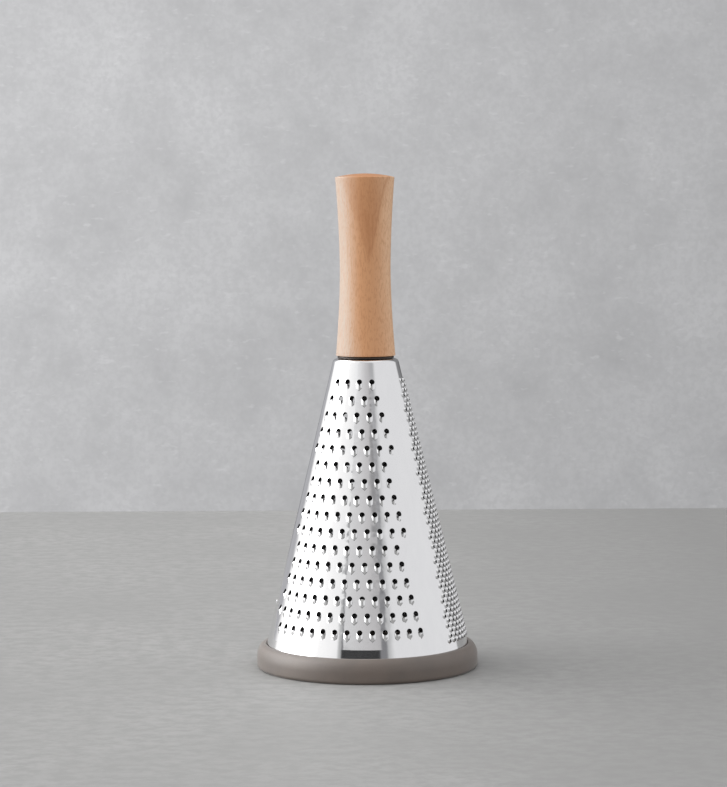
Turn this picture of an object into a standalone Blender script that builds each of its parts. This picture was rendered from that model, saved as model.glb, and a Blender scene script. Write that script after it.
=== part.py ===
"""Conical hand grater: a pierced steel cone on a soft non-slip ring, with a turned beech handle.

The steel cone is made as the real one is: the flat blank is laid out, its teeth are pierced,
and the blank is rolled round the cone and closed at a lap seam. The handle is drawn down on a
moulded collar by one screw, which pulls against a backing plate inside the small end of the cone.

Metres, +Z up, origin on the table under the middle of the cone. Azimuth 0 is the front (-Y) and
grows towards +X.
"""

import math

import bmesh
import bpy
from mathutils import Matrix, Vector
from mathutils.geometry import delaunay_2d_cdt

MM = 0.001
FULL_TURN = 2 * math.pi

# Clearances and overruns
SEAT_GAP = 0.3 * MM
CUT_OVERRUN = 1.0 * MM
WELD_DISTANCE = 0.001 * MM
TRIANGULATION_TOLERANCE = 0.000001 * MM

# Steel cone
CONE_RIM_RADIUS = 54.4 * MM
CONE_RIM_HEIGHT = 3.6 * MM
CONE_TOP_RADIUS = 16.7 * MM
CONE_TOP_HEIGHT = 160.4 * MM
SHEET_THICKNESS = 0.6 * MM
SHOULDER_RADIUS = 2.2 * MM
FLANGE_HOLE_RADIUS = 6.0 * MM
HEM_LENGTH = 3.0 * MM
SEAM_START = 0.3 * MM
SEAM_EDGE_WIDTH = 0.1 * MM
SEAM_WIDTH = 5.0 * MM
SEAM_RAMP_WIDTH = 2.5 * MM
SEAM_END_MARGIN = 3.0 * MM
SEAM_AZIMUTH = math.radians(153.0)
RIM_SEGMENTS = 72
TOP_SEGMENTS = 36
SHOULDER_STEPS = 3
GUIDE_STEP = math.radians(8.0)

# Grating fields. Left and right of its middle line, each fills a sector of the cone less a margin.
MEDIUM_FIELD = {
    "azimuth": math.radians(-19.5),
    "left_sector": math.radians(74.4),
    "left_margin": 12.4 * MM,
    "right_sector": math.radians(60.0),
    "right_margin": 5.8 * MM,
    "first_height": 25.0 * MM,
    "row_step": 8.29 * MM,
    "top_margin": 10.0 * MM,
    "pitch": 6.45 * MM,
}
FINE_FIELD = {
    "azimuth": math.radians(99.5),
    "left_sector": math.radians(49.7),
    "left_margin": 4.2 * MM,
    "right_sector": math.radians(49.7),
    "right_margin": 4.2 * MM,
    "first_height": 17.4 * MM,
    "row_step": 3.2 * MM,
    "top_margin": 11.0 * MM,
    "pitch": 5.0 * MM,
}
COARSE_FIELD = {
    "azimuth": math.radians(-143.0),
    "left_sector": math.radians(49.0),
    "left_margin": 6.5 * MM,
    "right_sector": math.radians(49.0),
    "right_margin": 6.5 * MM,
    "first_height": 25.2 * MM,
    "row_step": 9.35 * MM,
    "top_margin": 20.0 * MM,
    "pitch": 9.6 * MM,
}

# Teeth: a hole with a raised hood below it
MEDIUM_TOOTH = {"hole_radius": 1.35 * MM, "hood_length": 5.0 * MM, "hood_height": 1.0 * MM}
COARSE_TOOTH = {"hole_radius": 2.3 * MM, "hood_length": 7.8 * MM, "hood_height": 1.8 * MM}
FINE_TOOTH = {"base_radius": 1.15 * MM, "height": 1.0 * MM, "corners": 3}
HOLE_TOP_SHARES = (0.62, 0.8)
HOOD_SHOULDER_SHARES = (1.25, -0.25)
HOOD_TOE_SHARE = 0.5
LIP_DROP_SHARE = 0.9

# Non-slip ring
RING_WALL = 3.1 * MM
RING_HEIGHT = 12.5 * MM
RING_WIDEST_HEIGHT = 5.5 * MM
RING_FOOT_RADIUS = 1.4 * MM
RING_LAND = 0.7 * MM
RING_LIP_THICKNESS = 2.4 * MM
RING_LIP_HEIGHT = 9.5 * MM
RING_BULGE_STEPS = 4
RING_SEGMENTS = 44

# Handle
HANDLE_LENGTH = 91.7 * MM
HANDLE_TOP_RADIUS = 15.3 * MM
HANDLE_FOOT_RADIUS = 15.4 * MM
HANDLE_WAIST_RADIUS = 13.1 * MM
HANDLE_WAIST_SHARE = 0.48
HANDLE_FLARE_POWER = 1.7
HANDLE_DOME_HEIGHT = 2.3 * MM
HANDLE_EDGE = 0.5 * MM
HANDLE_SIDE_STEPS = 8
HANDLE_DOME_STEPS = 3
HANDLE_SEGMENTS = 36

# Collar between the cone and the handle
COLLAR_RADIUS = 14.6 * MM
COLLAR_THICKNESS = 0.9 * MM
COLLAR_SPIGOT_RADIUS = 7.5 * MM
COLLAR_SPIGOT_HEIGHT = 2.5 * MM
COLLAR_NOSE_HEIGHT = 0.6 * MM
COLLAR_SEGMENTS = 28

# Backing plate inside the small end of the cone
PLATE_THICKNESS = 1.2 * MM
PLATE_SKIRT_LENGTH = 4.2 * MM
PLATE_SIDE_GAP = 0.6 * MM
PLATE_SEGMENTS = 28

# Screw, washers and insert
SCREW_RADIUS = 2.5 * MM
SCREW_CLEARANCE = 0.35 * MM
SCREW_HEAD_RADIUS = 4.6 * MM
SCREW_HEAD_HEIGHT = 3.4 * MM
SCREW_LENGTH = 22.0 * MM
SCREW_TIP = 0.8 * MM
SCREW_RECESS_WIDTH = 1.0 * MM
SCREW_RECESS_LENGTH = 4.6 * MM
SCREW_RECESS_DEPTH = 1.8 * MM
SCREW_SEGMENTS = 18
WASHER_RADIUS = 6.0 * MM
WASHER_THICKNESS = 1.0 * MM
WASHER_SEGMENTS = 24
SPRING_RADIUS = 4.5 * MM
SPRING_THICKNESS = 1.2 * MM
SPRING_SLIT = math.radians(16.0)
SPRING_RISE = 0.5 * MM
SPRING_STEPS = 16
INSERT_RADIUS = 4.0 * MM
INSERT_LENGTH = 13.0 * MM
INSERT_RIM_RADIUS = 5.2 * MM
INSERT_RIM_HEIGHT = 1.2 * MM
INSERT_DEPTH = 0.5 * MM
INSERT_SEGMENTS = 18
BORE_DEPTH = 20.0 * MM

# Colours, roughness and metallic value
FINISHES = {
    "polished_steel": ((0.78, 0.78, 0.79), 0.12, 1.0),
    "plain_steel": ((0.6, 0.6, 0.61), 0.35, 1.0),
    "brass": ((0.72, 0.55, 0.27), 0.35, 1.0),
    "taupe_silicone": ((0.16, 0.125, 0.105), 0.6, 0.0),
    "black_nylon": ((0.02, 0.016, 0.013), 0.5, 0.0),
    "beech": ((0.60, 0.36, 0.19), 0.45, 0.0),
}

# Worked out from the sizes above
RING_RADIUS = CONE_RIM_RADIUS + RING_WALL
CONE_SLOPE = (CONE_RIM_RADIUS - CONE_TOP_RADIUS) / (CONE_TOP_HEIGHT - CONE_RIM_HEIGHT)
HALF_ANGLE = math.atan(CONE_SLOPE)
SHOULDER_CENTRE_HEIGHT = CONE_TOP_HEIGHT - SHOULDER_RADIUS
SHOULDER_START_HEIGHT = SHOULDER_CENTRE_HEIGHT + SHOULDER_RADIUS * math.sin(HALF_ANGLE)
COLLAR_BOTTOM = CONE_TOP_HEIGHT + SEAT_GAP
COLLAR_TOP = COLLAR_BOTTOM + COLLAR_THICKNESS
HANDLE_BOTTOM = COLLAR_TOP + SEAT_GAP
SCREW_HOLE_RADIUS = SCREW_RADIUS + SCREW_CLEARANCE
FLANGE_UNDERSIDE = CONE_TOP_HEIGHT - SHEET_THICKNESS
PLATE_TOP = FLANGE_UNDERSIDE - SEAT_GAP
WASHER_TOP = PLATE_TOP - PLATE_THICKNESS - SEAT_GAP
SPRING_TOP = WASHER_TOP - WASHER_THICKNESS - SEAT_GAP
SCREW_SEAT = SPRING_TOP - SPRING_THICKNESS - SPRING_RISE - SEAT_GAP


def cone_radius(height):
    """Radius of the cone's outer face at a height."""
    return CONE_RIM_RADIUS - (height - CONE_RIM_HEIGHT) * CONE_SLOPE


def slant_at(height):
    """Distance down the cone's side from its apex, which is the radius on the flat blank."""
    return cone_radius(height) / math.sin(HALF_ANGLE)


# The flat blank and how it rolls up

def flat_point(azimuth, slant):
    """A place on the flat blank. The blank runs one full turn on from the seam."""
    angle = ((azimuth - SEAM_AZIMUTH) % FULL_TURN) * math.sin(HALF_ANGLE)
    return Vector((slant * math.cos(angle), slant * math.sin(angle)))


def rolled_point(flat, lift):
    """The same place once the blank is rolled, standing off the outer face by lift."""
    slant = flat.length
    azimuth = SEAM_AZIMUTH + math.atan2(flat.y, flat.x) / math.sin(HALF_ANGLE)
    radius = slant * math.sin(HALF_ANGLE)
    height = CONE_RIM_HEIGHT + (CONE_RIM_RADIUS - radius) / CONE_SLOPE
    radius += lift * math.cos(HALF_ANGLE)
    return Vector((
        radius * math.sin(azimuth),
        -radius * math.cos(azimuth),
        height + lift * math.sin(HALF_ANGLE),
    ))


def field_steps(field):
    """Row by row, from the bottom: the height, the cone's radius and the teeth's places in half pitches.

    Every other row is staggered by half a pitch.
    """
    half_pitch = field["pitch"] / 2
    rows = math.floor((CONE_TOP_HEIGHT - field["top_margin"] - field["first_height"]) / field["row_step"])
    for row in range(rows + 1):
        height = field["first_height"] + row * field["row_step"]
        radius = cone_radius(height)
        left = math.floor((field["left_sector"] * radius - field["left_margin"]) / half_pitch)
        right = math.floor((field["right_sector"] * radius - field["right_margin"]) / half_pitch)
        steps = [step for step in range(-left, right + 1) if (step - row) % 2 == 0]
        yield height, radius, steps


def tooth_sites(field):
    """Azimuth and height of each tooth."""
    return [(field["azimuth"] + step * field["pitch"] / 2 / radius, height)
            for height, radius, steps in field_steps(field) for step in steps]


def field_span(field):
    """Azimuths of a field's left and right edges, half a pitch past its outermost teeth."""
    half_pitch = field["pitch"] / 2
    rows = [(radius, steps) for _, radius, steps in field_steps(field)]
    left = min((steps[0] - 1) * half_pitch / radius for radius, steps in rows)
    right = max((steps[-1] + 1) * half_pitch / radius for radius, steps in rows)
    return field["azimuth"] + left, field["azimuth"] + right


def tooth_outline(tooth, azimuth, height):
    """Flat places of one tooth's base, anticlockwise from its hole's top left corner, then its lip."""
    hole = tooth["hole_radius"]
    top_across, top_up = (share * hole for share in HOLE_TOP_SHARES)
    shoulder_across, shoulder_up = (share * hole for share in HOOD_SHOULDER_SHARES)
    toe = HOOD_TOE_SHARE * hole
    local = [(-top_across, top_up), (-shoulder_across, shoulder_up), (-toe, -tooth["hood_length"])]
    local += [(-across, up) for across, up in reversed(local)]
    local.append((0, -LIP_DROP_SHARE * hole))
    slant = slant_at(height)
    return [flat_point(azimuth + across / cone_radius(height), slant - up) for across, up in local]


def fine_tooth_base(azimuth, height):
    """Flat corners of one fine tooth's base, with one corner at the top."""
    corners = []
    for corner in range(FINE_TOOTH["corners"]):
        angle = FULL_TURN * corner / FINE_TOOTH["corners"]
        across = FINE_TOOTH["base_radius"] * math.sin(angle)
        up = FINE_TOOTH["base_radius"] * math.cos(angle)
        corners.append(flat_point(azimuth + across / cone_radius(height), slant_at(height) - up))
    return corners


class Blank:
    """Points, lifts, lines and outlines laid out flat before the sheet is cut and rolled."""

    def __init__(self):
        self.points = []
        self.lifts = []
        self.lines = []
        self.outlines = []

    def add(self, point, lift=0.0):
        self.points.append(point)
        self.lifts.append(lift)
        return len(self.points) - 1

    def add_line(self, places, lift=0.0):
        made = [self.add(place, lift) for place in places]
        self.lines += list(zip(made, made[1:]))
        return made

    def add_border(self, top_slant, rim_slant):
        """The blank's edge: rim, closing edge, top and the other closing edge."""
        sweep = FULL_TURN * math.sin(HALF_ANGLE)
        border = []
        for slant, segments, forward in ((rim_slant, RIM_SEGMENTS, True), (top_slant, TOP_SEGMENTS, False)):
            steps = range(segments + 1) if forward else range(segments, -1, -1)
            for step in steps:
                angle = sweep * step / segments
                border.append(self.add(Vector((slant * math.cos(angle), slant * math.sin(angle)))))
        self.outlines.append(border)


def add_skin(bm, lift, rim_slant, with_surface_detail, outlines):
    """Adds one face of the rolled sheet to bm and returns, for each tooth, the loop round its hole.

    outlines holds each tooth's flat base and lip with its hood height. The outer face also has
    the fine teeth and the lap seam, and the inner one is plain between the pierced teeth.
    """
    blank = Blank()
    top_slant = slant_at(SHOULDER_START_HEIGHT)
    blank.add_border(top_slant, rim_slant)
    for base, _ in outlines:
        blank.outlines.append([blank.add(place) for place in base[:-1]])
    if with_surface_detail:
        for azimuth, height in tooth_sites(FINE_FIELD):
            base = [blank.add(place) for place in fine_tooth_base(azimuth, height)]
            blank.lines += list(zip(base, base[1:] + base[:1]))
            blank.add(flat_point(azimuth, slant_at(height)), FINE_TOOTH["height"])
        add_seam(blank)
    add_guides(blank, top_slant, rim_slant, with_surface_detail)

    flat, _, triangles, origin, _, owners = delaunay_2d_cdt(
        blank.points, blank.lines, blank.outlines, 1, TRIANGULATION_TOLERANCE)
    made = []
    by_input = {}
    for place, sources in zip(flat, origin):
        own_lift = max((blank.lifts[source] for source in sources), default=0.0)
        vertex = bm.verts.new(rolled_point(place, lift + own_lift))
        made.append(vertex)
        for source in sources:
            by_input[source] = vertex
    for triangle, owner in zip(triangles, owners):
        if list(owner) == [0]:
            bm.faces.new([made[corner] for corner in triangle])

    holes = []
    for outline, (base, hood_height) in zip(blank.outlines[1:], outlines):
        left_top, left, left_toe, right_toe, right, right_top = (by_input[i] for i in outline)
        lip = bm.verts.new(rolled_point(base[-1], lift + hood_height))
        for pair in ((left, left_toe), (left_toe, right_toe), (right_toe, right)):
            bm.faces.new((*pair, lip))
        holes.append([left_top, left, lip, right, right_top])
    return holes


def add_seam(blank):
    """The lap seam: the upper layer's cut edge, its flat, and its run down to the lower layer."""
    top = slant_at(SHOULDER_START_HEIGHT) + SEAM_END_MARGIN
    foot = slant_at(RING_HEIGHT) - SEAM_END_MARGIN
    flat_end = SEAM_EDGE_WIDTH + SEAM_WIDTH
    for across in (0, flat_end + SEAM_RAMP_WIDTH):
        blank.add_line([seam_point(across, slant) for slant in (top, foot)])
    for across in (SEAM_EDGE_WIDTH, flat_end):
        ends = [blank.add(seam_point(across, slant)) for slant in (top, foot)]
        raised = (top + SEAM_EDGE_WIDTH, foot - SEAM_EDGE_WIDTH)
        inner = blank.add_line([seam_point(across, slant) for slant in raised], SHEET_THICKNESS)
        blank.lines += list(zip(ends, inner))


def seam_point(across, slant):
    angle = (SEAM_START + across) / slant
    return Vector((slant * math.cos(angle), slant * math.sin(angle)))


def add_guides(blank, top_slant, rim_slant, outer):
    """Straight lines down the plain strips, so that the triangles there follow the cone's curve."""
    spans = [field_span(field) for field in (FINE_FIELD, COARSE_FIELD, MEDIUM_FIELD)]
    strips = [(before[1], (after[0] - before[1]) % FULL_TURN)
              for before, after in zip(spans, spans[1:] + spans[:1])]
    if not outer:
        strips.append((spans[0][0], spans[0][1] - spans[0][0]))
    seam_reach = SEAM_START + SEAM_WIDTH + 2 * SEAM_RAMP_WIDTH if outer else 0
    for start, width in strips:
        count = max(1, round(width / GUIDE_STEP))
        for step in range(count + 1):
            azimuth = start + width * step / count
            from_seam = (azimuth - SEAM_AZIMUTH) % FULL_TURN
            clear_of_seam = seam_reach / (from_seam * math.sin(HALF_ANGLE))
            top = max(top_slant + SEAM_END_MARGIN, clear_of_seam)
            foot = rim_slant - SEAM_END_MARGIN
            near_edge = min(from_seam, FULL_TURN - from_seam) < GUIDE_STEP / 4
            if top < foot and not near_edge:
                blank.add_line([flat_point(azimuth, slant) for slant in (top, foot)])


def extrude_ring(bm, edges, radius, height):
    """Extrudes a closed ring of edges to a new radius and height, keeping each azimuth."""
    made = bmesh.ops.extrude_edge_only(bm, edges=edges)["geom"]
    for vertex in (item for item in made if isinstance(item, bmesh.types.BMVert)):
        flat = Vector((vertex.co.x, vertex.co.y)).normalized() * radius
        vertex.co = Vector((flat.x, flat.y, height))
    return [item for item in made if isinstance(item, bmesh.types.BMEdge)]


def off_cone(height, lift):
    """Radius and height of a point that stands off the cone's outer face by lift."""
    return cone_radius(height) + lift * math.cos(HALF_ANGLE), height + lift * math.sin(HALF_ANGLE)


def shoulder_section(radius):
    """The rounded corner from the cone's side to its flat top, without its first point."""
    centre_radius = cone_radius(SHOULDER_START_HEIGHT) - SHOULDER_RADIUS * math.cos(HALF_ANGLE)
    section = []
    for step in range(1, SHOULDER_STEPS + 1):
        angle = HALF_ANGLE + (math.pi / 2 - HALF_ANGLE) * step / SHOULDER_STEPS
        section.append((centre_radius + radius * math.cos(angle),
                        SHOULDER_CENTRE_HEIGHT + radius * math.sin(angle)))
    return section


def open_rings(bm):
    """The four open edges of the sheet: top outer, top inner, rim outer and rim inner."""
    edges = [edge for edge in bm.edges if edge.is_boundary]
    middle = (CONE_TOP_HEIGHT + CONE_RIM_HEIGHT) / 2
    rings = []
    for upper in (True, False):
        half = [edge for edge in edges if (edge.verts[0].co.z > middle) == upper]
        heights = [edge.verts[0].co.z for edge in half]
        split = (max(heights) + min(heights)) / 2
        high = [edge for edge in half if edge.verts[0].co.z > split]
        low = [edge for edge in half if edge.verts[0].co.z <= split]
        rings += [high, low]
    return rings


def make_grater_cone():
    outlines = []
    for field, tooth in ((MEDIUM_FIELD, MEDIUM_TOOTH), (COARSE_FIELD, COARSE_TOOTH)):
        for azimuth, height in tooth_sites(field):
            outlines.append((tooth_outline(tooth, azimuth, height), tooth["hood_height"]))
    rim_slant = slant_at(CONE_RIM_HEIGHT)
    bm = bmesh.new()
    outer_holes = add_skin(bm, 0.0, rim_slant - HEM_LENGTH, True, outlines)
    inner_holes = add_skin(bm, -SHEET_THICKNESS, rim_slant, False, outlines)
    for outer, inner in zip(outer_holes, inner_holes):
        for corner in range(len(outer)):
            bm.faces.new((outer[corner - 1], outer[corner], inner[corner], inner[corner - 1]))
    bmesh.ops.remove_doubles(bm, verts=bm.verts, dist=WELD_DISTANCE)

    top_outer, top_inner, rim_outer, rim_inner = open_rings(bm)
    for radius, height in shoulder_section(SHOULDER_RADIUS):
        top_outer = extrude_ring(bm, top_outer, radius, height)
    top_outer = extrude_ring(bm, top_outer, FLANGE_HOLE_RADIUS, CONE_TOP_HEIGHT)
    for radius, height in shoulder_section(SHOULDER_RADIUS - SHEET_THICKNESS):
        top_inner = extrude_ring(bm, top_inner, radius, height)
    top_inner = extrude_ring(bm, top_inner, FLANGE_HOLE_RADIUS, FLANGE_UNDERSIDE)
    bmesh.ops.bridge_loops(bm, edges=top_outer + top_inner)

    hem_top = CONE_RIM_HEIGHT + HEM_LENGTH * math.cos(HALF_ANGLE)
    rim_outer = extrude_ring(bm, rim_outer, *off_cone(hem_top, SHEET_THICKNESS))
    rim_outer = extrude_ring(bm, rim_outer, *off_cone(CONE_RIM_HEIGHT, SHEET_THICKNESS))
    bmesh.ops.bridge_loops(bm, edges=rim_outer + rim_inner)
    bmesh.ops.recalc_face_normals(bm, faces=bm.faces)
    mesh = bpy.data.meshes.new("grater_cone")
    bm.to_mesh(mesh)
    bm.free()
    return add_part("grater_cone", mesh, "polished_steel")


# Turned pieces

def make_turned(name, profile, segments, finish):
    """A closed profile of (radius, height) points turned about Z. A profile on the axis stays closed."""
    mesh = bpy.data.meshes.new(name)
    on_axis = profile[0][0] == 0 and profile[-1][0] == 0
    edges = [(i, i + 1) for i in range(len(profile) - 1)]
    if not on_axis:
        edges.append((len(profile) - 1, 0))
    mesh.from_pydata([(radius, 0, height) for radius, height in profile], edges, [])
    piece = add_part(name, mesh, finish)
    screw = piece.modifiers.new("turned", "SCREW")
    screw.steps = segments
    screw.render_steps = segments
    screw.use_merge_vertices = True
    screw.merge_threshold = WELD_DISTANCE
    return piece


def make_base_ring():
    """Soft ring with a slanted groove, and a wider pocket at its foot that holds the cone's hem."""
    gap = SEAT_GAP / math.cos(HALF_ANGLE)
    wall = SHEET_THICKNESS / math.cos(HALF_ANGLE)
    hem_top = CONE_RIM_HEIGHT + HEM_LENGTH + SEAT_GAP
    floor = CONE_RIM_HEIGHT - SHEET_THICKNESS * math.sin(HALF_ANGLE) - SEAT_GAP
    inner_floor = cone_radius(floor) - wall - gap
    lip_top = cone_radius(RING_LIP_HEIGHT) - wall - gap
    mouth = cone_radius(RING_HEIGHT) + gap
    land = mouth + RING_LAND
    profile = [(mouth, RING_HEIGHT)]
    for step in range(RING_BULGE_STEPS + 1):
        angle = math.pi / 2 * step / RING_BULGE_STEPS
        profile.append((
            land + (RING_RADIUS - land) * math.sin(angle),
            RING_WIDEST_HEIGHT + (RING_HEIGHT - RING_WIDEST_HEIGHT) * math.cos(angle),
        ))
    profile += [
        (RING_RADIUS, RING_FOOT_RADIUS),
        (RING_RADIUS - RING_FOOT_RADIUS, 0),
        (lip_top - RING_LIP_THICKNESS + RING_FOOT_RADIUS, 0),
        (lip_top - RING_LIP_THICKNESS, RING_FOOT_RADIUS),
        (lip_top - RING_LIP_THICKNESS, RING_LIP_HEIGHT),
        (lip_top, RING_LIP_HEIGHT),
        (inner_floor, floor),
        (cone_radius(floor) + wall + gap, floor),
        (cone_radius(hem_top) + wall + gap, hem_top),
        (cone_radius(hem_top) + gap, hem_top),
    ]
    return make_turned("base_ring", profile, RING_SEGMENTS, "taupe_silicone")


def handle_radius(share):
    """The waisted side: share 0 is the foot and 1 is the top edge."""
    if share < HANDLE_WAIST_SHARE:
        end, reach = HANDLE_FOOT_RADIUS, (HANDLE_WAIST_SHARE - share) / HANDLE_WAIST_SHARE
    else:
        end, reach = HANDLE_TOP_RADIUS, (share - HANDLE_WAIST_SHARE) / (1 - HANDLE_WAIST_SHARE)
    return HANDLE_WAIST_RADIUS + (end - HANDLE_WAIST_RADIUS) * reach ** HANDLE_FLARE_POWER


def make_handle():
    """Turned beech, crowned on top, with a counterbore and a blind bore for the insert below."""
    top = HANDLE_BOTTOM + HANDLE_LENGTH
    spigot_bore = COLLAR_SPIGOT_RADIUS + SEAT_GAP
    counterbore_top = COLLAR_TOP + COLLAR_SPIGOT_HEIGHT + SEAT_GAP
    rim_bore = INSERT_RIM_RADIUS + SEAT_GAP
    rim_bore_top = counterbore_top + INSERT_DEPTH + INSERT_RIM_HEIGHT + SEAT_GAP
    bore = INSERT_RADIUS + SEAT_GAP
    bore_top = counterbore_top + BORE_DEPTH
    profile = [(0, top + HANDLE_DOME_HEIGHT)]
    crown_radius = HANDLE_TOP_RADIUS - HANDLE_EDGE
    for step in range(1, HANDLE_DOME_STEPS + 1):
        share = step / HANDLE_DOME_STEPS
        profile.append((crown_radius * share, top + HANDLE_DOME_HEIGHT * (1 - share ** 2)))
    for step in range(HANDLE_SIDE_STEPS, -1, -1):
        share = step / HANDLE_SIDE_STEPS
        height = HANDLE_BOTTOM + HANDLE_LENGTH * share
        height += HANDLE_EDGE * ((step == 0) - (step == HANDLE_SIDE_STEPS))
        profile.append((handle_radius(share), height))
    profile += [
        (HANDLE_FOOT_RADIUS - HANDLE_EDGE, HANDLE_BOTTOM),
        (spigot_bore, HANDLE_BOTTOM),
        (spigot_bore, counterbore_top),
        (rim_bore, counterbore_top),
        (rim_bore, rim_bore_top),
        (bore, rim_bore_top),
        (bore, bore_top),
        (0, bore_top),
    ]
    return make_turned("handle", profile, HANDLE_SEGMENTS, "beech")


def make_handle_collar():
    """Moulded spacer: a disc with a spigot up into the handle and a nose down into the cone's top."""
    nose = FLANGE_HOLE_RADIUS - SEAT_GAP
    profile = [
        (SCREW_HOLE_RADIUS, COLLAR_TOP + COLLAR_SPIGOT_HEIGHT),
        (COLLAR_SPIGOT_RADIUS, COLLAR_TOP + COLLAR_SPIGOT_HEIGHT),
        (COLLAR_SPIGOT_RADIUS, COLLAR_TOP),
        (COLLAR_RADIUS, COLLAR_TOP),
        (COLLAR_RADIUS, COLLAR_BOTTOM),
        (nose, COLLAR_BOTTOM),
        (nose, COLLAR_BOTTOM - COLLAR_NOSE_HEIGHT),
        (SCREW_HOLE_RADIUS, COLLAR_BOTTOM - COLLAR_NOSE_HEIGHT),
    ]
    return make_turned("handle_collar", profile, COLLAR_SEGMENTS, "black_nylon")


def make_backing_plate():
    """Pressed cup whose skirt follows the inside of the cone."""
    gap = (SHEET_THICKNESS + PLATE_SIDE_GAP) / math.cos(HALF_ANGLE)
    wall = PLATE_THICKNESS / math.cos(HALF_ANGLE)
    corner = PLATE_TOP - SHOULDER_RADIUS
    foot = PLATE_TOP - PLATE_SKIRT_LENGTH
    flat_radius = cone_radius(corner) - gap - SHOULDER_RADIUS
    profile = [
        (SCREW_HOLE_RADIUS, PLATE_TOP),
        (flat_radius, PLATE_TOP),
        (cone_radius(corner) - gap, corner),
        (cone_radius(foot) - gap, foot),
        (cone_radius(foot) - gap - wall, foot),
        (cone_radius(corner) - gap - wall, corner),
        (flat_radius - wall / 2, PLATE_TOP - PLATE_THICKNESS),
        (SCREW_HOLE_RADIUS, PLATE_TOP - PLATE_THICKNESS),
    ]
    return make_turned("backing_plate", profile, PLATE_SEGMENTS, "plain_steel")


def make_flat_washer():
    profile = [
        (SCREW_HOLE_RADIUS, WASHER_TOP),
        (WASHER_RADIUS, WASHER_TOP),
        (WASHER_RADIUS, WASHER_TOP - WASHER_THICKNESS),
        (SCREW_HOLE_RADIUS, WASHER_TOP - WASHER_THICKNESS),
    ]
    return make_turned("flat_washer", profile, WASHER_SEGMENTS, "plain_steel")


def make_spring_washer():
    """One split coil: its section climbs by the rise from one side of the slit to the other."""
    mesh = bpy.data.meshes.new("spring_washer")
    bottom = SPRING_TOP - SPRING_RISE - SPRING_THICKNESS
    section = [
        (SCREW_HOLE_RADIUS, bottom + SPRING_THICKNESS), (SPRING_RADIUS, bottom + SPRING_THICKNESS),
        (SPRING_RADIUS, bottom), (SCREW_HOLE_RADIUS, bottom),
    ]
    mesh.from_pydata([(radius, 0, height) for radius, height in section], [], [(0, 1, 2, 3)])
    bm = bmesh.new()
    bm.from_mesh(mesh)
    sweep = FULL_TURN - SPRING_SLIT
    bmesh.ops.spin(bm, geom=bm.faces[:] + bm.edges[:] + bm.verts[:], angle=sweep, steps=SPRING_STEPS,
                   axis=(0, 0, 1), cent=(0, 0, 0), dvec=(0, 0, SPRING_RISE / SPRING_STEPS))
    bmesh.ops.remove_doubles(bm, verts=bm.verts, dist=WELD_DISTANCE)
    bmesh.ops.recalc_face_normals(bm, faces=bm.faces)
    bm.to_mesh(mesh)
    bm.free()
    return add_part("spring_washer", mesh, "plain_steel")


def make_fixing_screw():
    """Pan-head machine screw, driven up from inside the cone, with a cross recess."""
    bottom = SCREW_SEAT - SCREW_HEAD_HEIGHT
    tip = SCREW_SEAT + SCREW_LENGTH
    profile = [
        (0, tip),
        (SCREW_RADIUS - SCREW_TIP, tip),
        (SCREW_RADIUS, tip - SCREW_TIP),
        (SCREW_RADIUS, SCREW_SEAT),
        (SCREW_HEAD_RADIUS, SCREW_SEAT),
        (SCREW_HEAD_RADIUS, SCREW_SEAT - SCREW_HEAD_HEIGHT / 2),
        (SCREW_HEAD_RADIUS * math.cos(math.pi / 5), bottom + SCREW_HEAD_HEIGHT / 8),
        (SCREW_HEAD_RADIUS / 2, bottom),
        (0, bottom),
    ]
    screw = make_turned("fixing_screw", profile, SCREW_SEGMENTS, "plain_steel")
    for turn in (0, math.pi / 2):
        cutter = make_cutter_box(
            "screw_recess", (SCREW_RECESS_LENGTH, SCREW_RECESS_WIDTH, SCREW_RECESS_DEPTH + CUT_OVERRUN))
        cutter.location.z = bottom + (SCREW_RECESS_DEPTH - CUT_OVERRUN) / 2
        cutter.rotation_euler.z = turn
        cut = screw.modifiers.new("recess", "BOOLEAN")
        cut.operation = "DIFFERENCE"
        cut.object = cutter
    return screw


def make_threaded_insert():
    """Brass insert pressed into the handle, with a rim that stops it at the counterbore."""
    mouth = COLLAR_TOP + COLLAR_SPIGOT_HEIGHT + SEAT_GAP + INSERT_DEPTH
    thread = SCREW_RADIUS + SEAT_GAP / 2
    profile = [
        (thread, mouth + INSERT_LENGTH),
        (INSERT_RADIUS, mouth + INSERT_LENGTH),
        (INSERT_RADIUS, mouth + INSERT_RIM_HEIGHT),
        (INSERT_RIM_RADIUS, mouth + INSERT_RIM_HEIGHT),
        (INSERT_RIM_RADIUS, mouth),
        (thread, mouth),
    ]
    return make_turned("threaded_insert", profile, INSERT_SEGMENTS, "brass")


# Scene set-up

def collection_named(name):
    found = bpy.data.collections.get(name)
    if found is None:
        found = bpy.data.collections.new(name)
        bpy.context.scene.collection.children.link(found)
    return found


def finish_named(name):
    material = bpy.data.materials.get(name)
    if material is None:
        colour, roughness, metallic = FINISHES[name]
        material = bpy.data.materials.new(name)
        material.use_nodes = True
        shader = material.node_tree.nodes["Principled BSDF"]
        shader.inputs["Base Color"].default_value = (*colour, 1)
        shader.inputs["Roughness"].default_value = roughness
        shader.inputs["Metallic"].default_value = metallic
    return material


def add_part(name, mesh, finish):
    piece = bpy.data.objects.new(name, mesh)
    collection_named("conical_grater").objects.link(piece)
    mesh.materials.append(finish_named(finish))
    return piece


def make_cutter_box(name, size):
    mesh = bpy.data.meshes.new(name)
    bm = bmesh.new()
    bmesh.ops.create_cube(bm, size=1, matrix=Matrix.Diagonal((*size, 1)))
    bm.to_mesh(mesh)
    bm.free()
    cutter = bpy.data.objects.new(name, mesh)
    collection_named("cutters").objects.link(cutter)
    cutter.hide_render = True
    cutter.display_type = "WIRE"
    return cutter


def clear_scene():
    for item in list(bpy.data.objects):
        bpy.data.objects.remove(item)


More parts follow.
